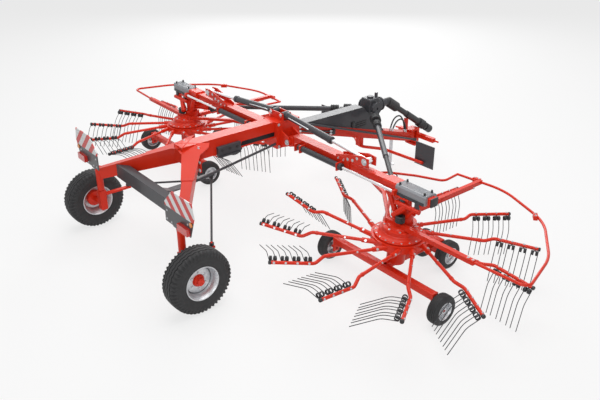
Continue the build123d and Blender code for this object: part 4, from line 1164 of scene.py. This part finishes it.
HOSE_R = 0.012
# Right side's upper run, which the left side repeats
SIDE_RUN = ((0.120, -0.064, 1.300), (0.124, 0.060, 1.274), (0.116, 0.200, 1.212), (0.106, 0.340, 1.142),
            (0.104, 0.480, 1.098), (0.104, 0.610, 1.078))
# Hoses with both ends in the frame: name, length, points from end to end
HOSES = (
    ("hose_front_1", 0.717, (
        (0.062, 1.905, 0.742), (0.068, 1.925, 0.860), (0.074, 1.990, 0.965), (0.074, 2.110, 0.975),
        (0.068, 2.200, 0.870), (0.064, 2.240, 0.750), (0.062, 2.248, 0.640))),
    ("hose_front_2", 0.617, (
        (0.072, 1.945, 0.730), (0.084, 1.970, 0.830), (0.092, 2.040, 0.910), (0.092, 2.145, 0.910),
        (0.082, 2.228, 0.810), (0.072, 2.270, 0.710), (0.070, 2.280, 0.630))),
    ("hose_right_1", 0.714, SIDE_RUN),
    ("hose_right_2", 0.707, (
        (0.120, -0.064, 1.240), (0.124, 0.060, 1.214), (0.116, 0.200, 1.156), (0.106, 0.340, 1.092),
        (0.104, 0.480, 1.056), (0.104, 0.610, 1.038))),
    ("hose_left_1", 0.714, [(-x, y, z) for x, y, z in SIDE_RUN]),
)
FERRULE_R = 0.0165
FERRULE_LENGTH = 0.055
HOSE_BLOCK = ((0.086, 0.122), (0.600, 0.660), (1.016, 1.100))


def frame_hoses():
    """Stiff hoses with crimped ends, and the blocks on the drawbar's sides that three of them go into."""
    ferrules = []
    for name, length, points in HOSES:
        line = round_curve(name, HOSE_R, 4)
        line.resolution_u = 12
        spline = add_spline(line, "NURBS", points)
        spline.order_u = 3
        spline.use_endpoint_u = True
        line.materials.append(finishes["black_plastic"])
        hose = linked(name, line)
        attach(hose, "chassis")
        for tip, beyond in ((points[0], points[1]), (points[-1], points[-2])):
            way = (Vector(beyond) - Vector(tip)).normalized()
            ferrules.append(rod_mesh("ferrule", tip, Vector(tip) + way * FERRULE_LENGTH, FERRULE_R))
    alone("hose_ferrules", merged("ferrules", ferrules), "zinc")
    block = box_mesh("block", *HOSE_BLOCK)
    alone("hose_blocks", merged("blocks", [block, mirrored(block)]), "black_plastic")


# Wheels

REAR_TREAD_STEPS = 192
# Half of the rear tyre's section, from its middle outwards: x, radius, zigzag share, lug notch depth
REAR_SECTION = (
    (0.000, 0.4070, 0.0, 0.0),
    (0.020, 0.4070, 1.0, 0.0),
    (0.022, 0.3940, 1.0, 0.0),
    (0.030, 0.3940, 1.0, 0.0),
    (0.032, 0.4065, 1.0, 0.0),
    (0.064, 0.4050, 1.0, 0.0),
    (0.066, 0.3930, 1.0, 0.0),
    (0.075, 0.3930, 1.0, 0.0),
    (0.077, 0.4035, 1.0, 0.0),
    (0.100, 0.4015, 0.0, 0.012),
    (0.118, 0.3900, 0.0, 0.020),
    (0.130, 0.3660, 0.0, 0.018),
    (0.135, 0.3440, 0.0, 0.008),
    (0.1385, 0.3220, 0.0, 0.0),
    (0.1395, 0.3000, 0.0, 0.0),
    (0.1370, 0.2960, 0.0, 0.0),
    (0.1375, 0.2780, 0.0, 0.0),
    (0.1310, 0.2450, 0.0, 0.0),
    (0.1240, 0.2260, 0.0, 0.0),
    (0.1270, 0.2200, 0.0, 0.0),
    (0.1200, 0.2070, 0.0, 0.0),
)
ZIGZAG = 0.0075
ZIGZAG_STEPS = 6
LUG_STEPS = 4
LUG_INSET = 0.35


def full_section(half):
    """A whole section from its right half, and the rows' extra columns in the same order."""
    left = [(-row[0], *row[1:]) for row in reversed(half[1:])]
    return left + list(half)


def rear_tyre_mesh():
    rows = full_section(REAR_SECTION)

    def wobble(row, x, radius, step):
        share, notch = rows[row][2], rows[row][3]
        phase = (step % ZIGZAG_STEPS) / ZIGZAG_STEPS
        x += share * ZIGZAG * (abs(phase * 4 - 2) - 1)
        half = LUG_STEPS // 2
        side_shift = half if x > 0 else 0
        if notch and (step + side_shift) % LUG_STEPS >= half:
            radius -= notch
            x -= notch * LUG_INSET * (1 if x > 0 else -1)
        return x, radius

    return revolved("rear_tyre", [row[:2] for row in rows], REAR_TREAD_STEPS, wobble)


# The rear rim's section: x, radius, starting at the outer lip
REAR_RIM = (
    (0.1265, 0.2070), (0.1265, 0.2170), (0.1180, 0.2190), (0.1150, 0.2060), (-0.1150, 0.2060),
    (-0.1180, 0.2190), (-0.1265, 0.2170), (-0.1265, 0.2070), (-0.1150, 0.1980), (-0.0950, 0.1900),
    (-0.0700, 0.1700), (-0.0200, 0.1640), (0.0080, 0.1560), (0.0180, 0.1360), (0.0200, 0.0700),
    (0.0280, 0.0690), (0.0290, 0.1330), (0.0200, 0.1620), (-0.0050, 0.1720), (0.0700, 0.1760),
    (0.0980, 0.1900), (0.1150, 0.1980),
)
REAR_HUB = (
    (-0.0355, 0.0020), (-0.0355, 0.1050), (-0.0250, 0.1120), (0.0190, 0.1120), (0.0195, 0.0790),
    (0.0300, 0.0790), (0.0560, 0.0620), (0.0590, 0.0500), (0.0900, 0.0470), (0.0960, 0.0400),
    (0.0970, 0.0020),
)
# Nuts on a wheel: x of their face, radius of their circle, count, size
REAR_NUTS = (0.0295, 0.1025, 6, 0.0125)
REAR_NUT_HEIGHT = 1.2
ROTOR_NUTS = (0.0215, 0.056, 4, 0.008)


def ring_of_nuts(place, face, radius, count, size):
    """Nuts on a circle about a wheel's own X."""
    outward = place.to_3x3() @ Vector((1, 0, 0))
    places = []
    for order in range(count):
        angle = tau * (order + 0.5) / count
        places.append((place @ Vector((face, radius * cos(angle), radius * sin(angle))), outward, size))
    return places


def rear_wheels():
    place = Matrix.Translation(REAR_WHEEL)
    for name, mesh, slot, nodes in (
        ("rear_tyre_tread", rear_tyre_mesh(), "tyre", ("rear_tyre",)),
        ("rear_rim_dish", revolved("rim", REAR_RIM, 64), "zinc", ("rear_rim",)),
        ("rear_hub_drum", revolved("hub", REAR_HUB, 40), "red_paint", ()),
    ):
        mesh.transform(place)
        pair(name, mesh, slot, "rear_wheel", nodes)
    bolt_pair("rear_wheel_nuts", ring_of_nuts(place, *REAR_NUTS), "rear_wheel", REAR_NUT_HEIGHT)


# Half of a rotor tyre's section: x, radius
ROTOR_SECTION = (
    (0.000, 0.1880), (0.0040, 0.1880), (0.0050, 0.1840), (0.0085, 0.1840), (0.0095, 0.1895),
    (0.0230, 0.1895), (0.0240, 0.1840), (0.0280, 0.1840), (0.0290, 0.1890), (0.0440, 0.1870),
    (0.0450, 0.1820), (0.0490, 0.1815), (0.0500, 0.1850), (0.0590, 0.1780), (0.0680, 0.1640),
    (0.0740, 0.1450), (0.0745, 0.1330), (0.0725, 0.1310), (0.0715, 0.1230), (0.0660, 0.1110),
    (0.0640, 0.1060),
)
ROTOR_RIM = (
    (0.0665, 0.1060), (0.0665, 0.1120), (0.0600, 0.1130), (0.0580, 0.1050), (-0.0580, 0.1050),
    (-0.0600, 0.1130), (-0.0665, 0.1120), (-0.0665, 0.1060), (-0.0560, 0.0990), (-0.0300, 0.0940),
    (0.0060, 0.0880), (0.0120, 0.0700), (0.0120, 0.0420), (-0.0450, 0.0400), (-0.0450, 0.0190),
    (0.0500, 0.0190), (0.0500, 0.0360), (0.0200, 0.0400), (0.0210, 0.0700), (0.0160, 0.0900),
    (0.0300, 0.0950), (0.0560, 0.0990),
)


def rotor_wheels():
    tyre = revolved("rotor_tyre", full_section(ROTOR_SECTION), 72)
    rim = revolved("rotor_rim", ROTOR_RIM, 40)
    outward, inward = Matrix(), Matrix.Rotation(pi, 4, "Z")
    x, y = AXLE_WHEEL
    front_x, front_y = FRONT_WHEEL
    # body, the middle of each of its wheels in the rotor's frame and the way its face looks
    table = (
        ("inner_wheel", (((-x, y), inward),)),
        ("outer_wheel", (((x, y), outward),)),
        ("front_wheels", (((-front_x, front_y), inward), ((front_x, front_y), outward))),
    )
    for name, wheels in table:
        places = []
        for middle, turn in wheels:
            places.append(Matrix.Translation(ROTOR + Vector((*middle, ROTOR_TYRE_R))) @ turn)
        pair(name + "_tyre", joined(name, *[(tyre, place) for place in places]), "tyre", name, (name,))
        pair(name + "_rim", joined(name, *[(rim, place) for place in places]), "zinc", name)
        nuts = [nut for place in places for nut in ring_of_nuts(place, *ROTOR_NUTS)]
        bolt_pair(name + "_nuts", nuts, name)


# Finishes on the frame's own nodes

def dress_nodes():
    slots = {part["node"]: part["material_slot"] for part in frame["record"]["subparts"]}
    for name, node in frame["nodes"].items():
        node.data.materials.clear()
        node.data.materials.append(finishes[slots[name]])
    frame["nodes"]["rear_beam"].data.materials[0] = beam_paint


def seen_directly(nodes):
    """1 for rays from the camera and for those that a mirror or a glass sends on, else 0."""
    seen = nodes.node("ShaderNodeLightPath", output="Is Camera Ray")
    for name in ("Is Glossy Ray", "Is Transmission Ray"):
        ray = nodes.node("ShaderNodeLightPath", output=name)
        seen = nodes.node("ShaderNodeMath", {"operation": "MAXIMUM"}, {0: seen, 1: ray})
    return seen


FLOOR_SIZE = 120
FLOOR_DROP = 0.001
PAPER = (0.86, 0.86, 0.86, 1)
PAPER_GLOW = 0.72
WHITE = (1, 1, 1, 1)
# Strength of the surroundings as light, and as they are seen
SKY_LEVEL = (0.36, 1.0)
# Lamps: name, place, aim, size, watts
LAMPS = (
    ("overhead_softbox", (0.5, 0.0, 9.0), (0.0, 0.0, 0.0), 9.0, 560),
    ("side_softbox", (8.0, -9.0, 5.0), (0.0, 0.0, 0.8), 5.0, 260),
    ("far_softbox", (-8.5, 7.5, 6.0), (1.0, -0.5, 0.8), 8.0, 700),
)


def build_floor():
    bpy.ops.mesh.primitive_plane_add(size=FLOOR_SIZE, location=(0, 0, -FLOOR_DROP))
    floor = bpy.context.object
    floor.name = "studio_floor"
    paper = bpy.data.materials.new("pale_paper")
    paper.use_nodes = True
    nodes = Nodes(paper.node_tree)
    share = nodes.node("ShaderNodeMath", {"operation": "MULTIPLY"}, {0: seen_directly(nodes), 1: PAPER_GLOW})
    matt = nodes.node("ShaderNodeBsdfDiffuse", None, {"Color": PAPER})
    glow = nodes.node("ShaderNodeEmission", None, {"Color": WHITE})
    mix = nodes.node("ShaderNodeMixShader", None, {0: share, 1: matt, 2: glow})
    nodes.node("ShaderNodeOutputMaterial", None, {0: mix})
    floor.data.materials.append(paper)


def build_light():
    world = bpy.data.worlds.new("studio")
    bpy.context.scene.world = world
    world.use_nodes = True
    nodes = Nodes(world.node_tree)
    low, high = SKY_LEVEL
    inputs = {"Value": seen_directly(nodes), "To Min": low, "To Max": high}
    level = nodes.node("ShaderNodeMapRange", None, inputs)
    sky = nodes.node("ShaderNodeBackground", None, {"Color": WHITE, "Strength": level})
    nodes.node("ShaderNodeOutputWorld", None, {0: sky})
    for name, place, aim, size, watts in LAMPS:
        data = bpy.data.lights.new(name, "AREA")
        data.energy = watts
        data.size = size
        lamp = linked(name, data)
        lamp.location = place
        lamp.rotation_euler = (Vector(aim) - Vector(place)).to_track_quat("-Z", "Y").to_euler()


def build_camera():
    data = bpy.data.cameras.new("photo_camera")
    data.sensor_width = 36.0
    data.lens = CAMERA_LENS
    data.clip_end = 200
    camera = linked("photo_camera", data)
    camera.location = CAMERA_PLACE
    camera.rotation_euler = (radians(90 - CAMERA_PITCH_DEG), 0, radians(CAMERA_YAW_DEG))
    bpy.context.scene.camera = camera


dress_nodes()
tine_parts()
clamp_parts()
rear_wheels()
rotor_wheels()
rotor_frames()
rotor_heads()
guard_fittings()
shaft_boots()
gearbox_fittings()
frame_fittings()
fork_gussets()
cylinder_fittings()
board_fittings()
frame_hoses()
build_floor()
build_light()
build_camera()
bpy.context.scene.view_settings.view_transform = "Standard"
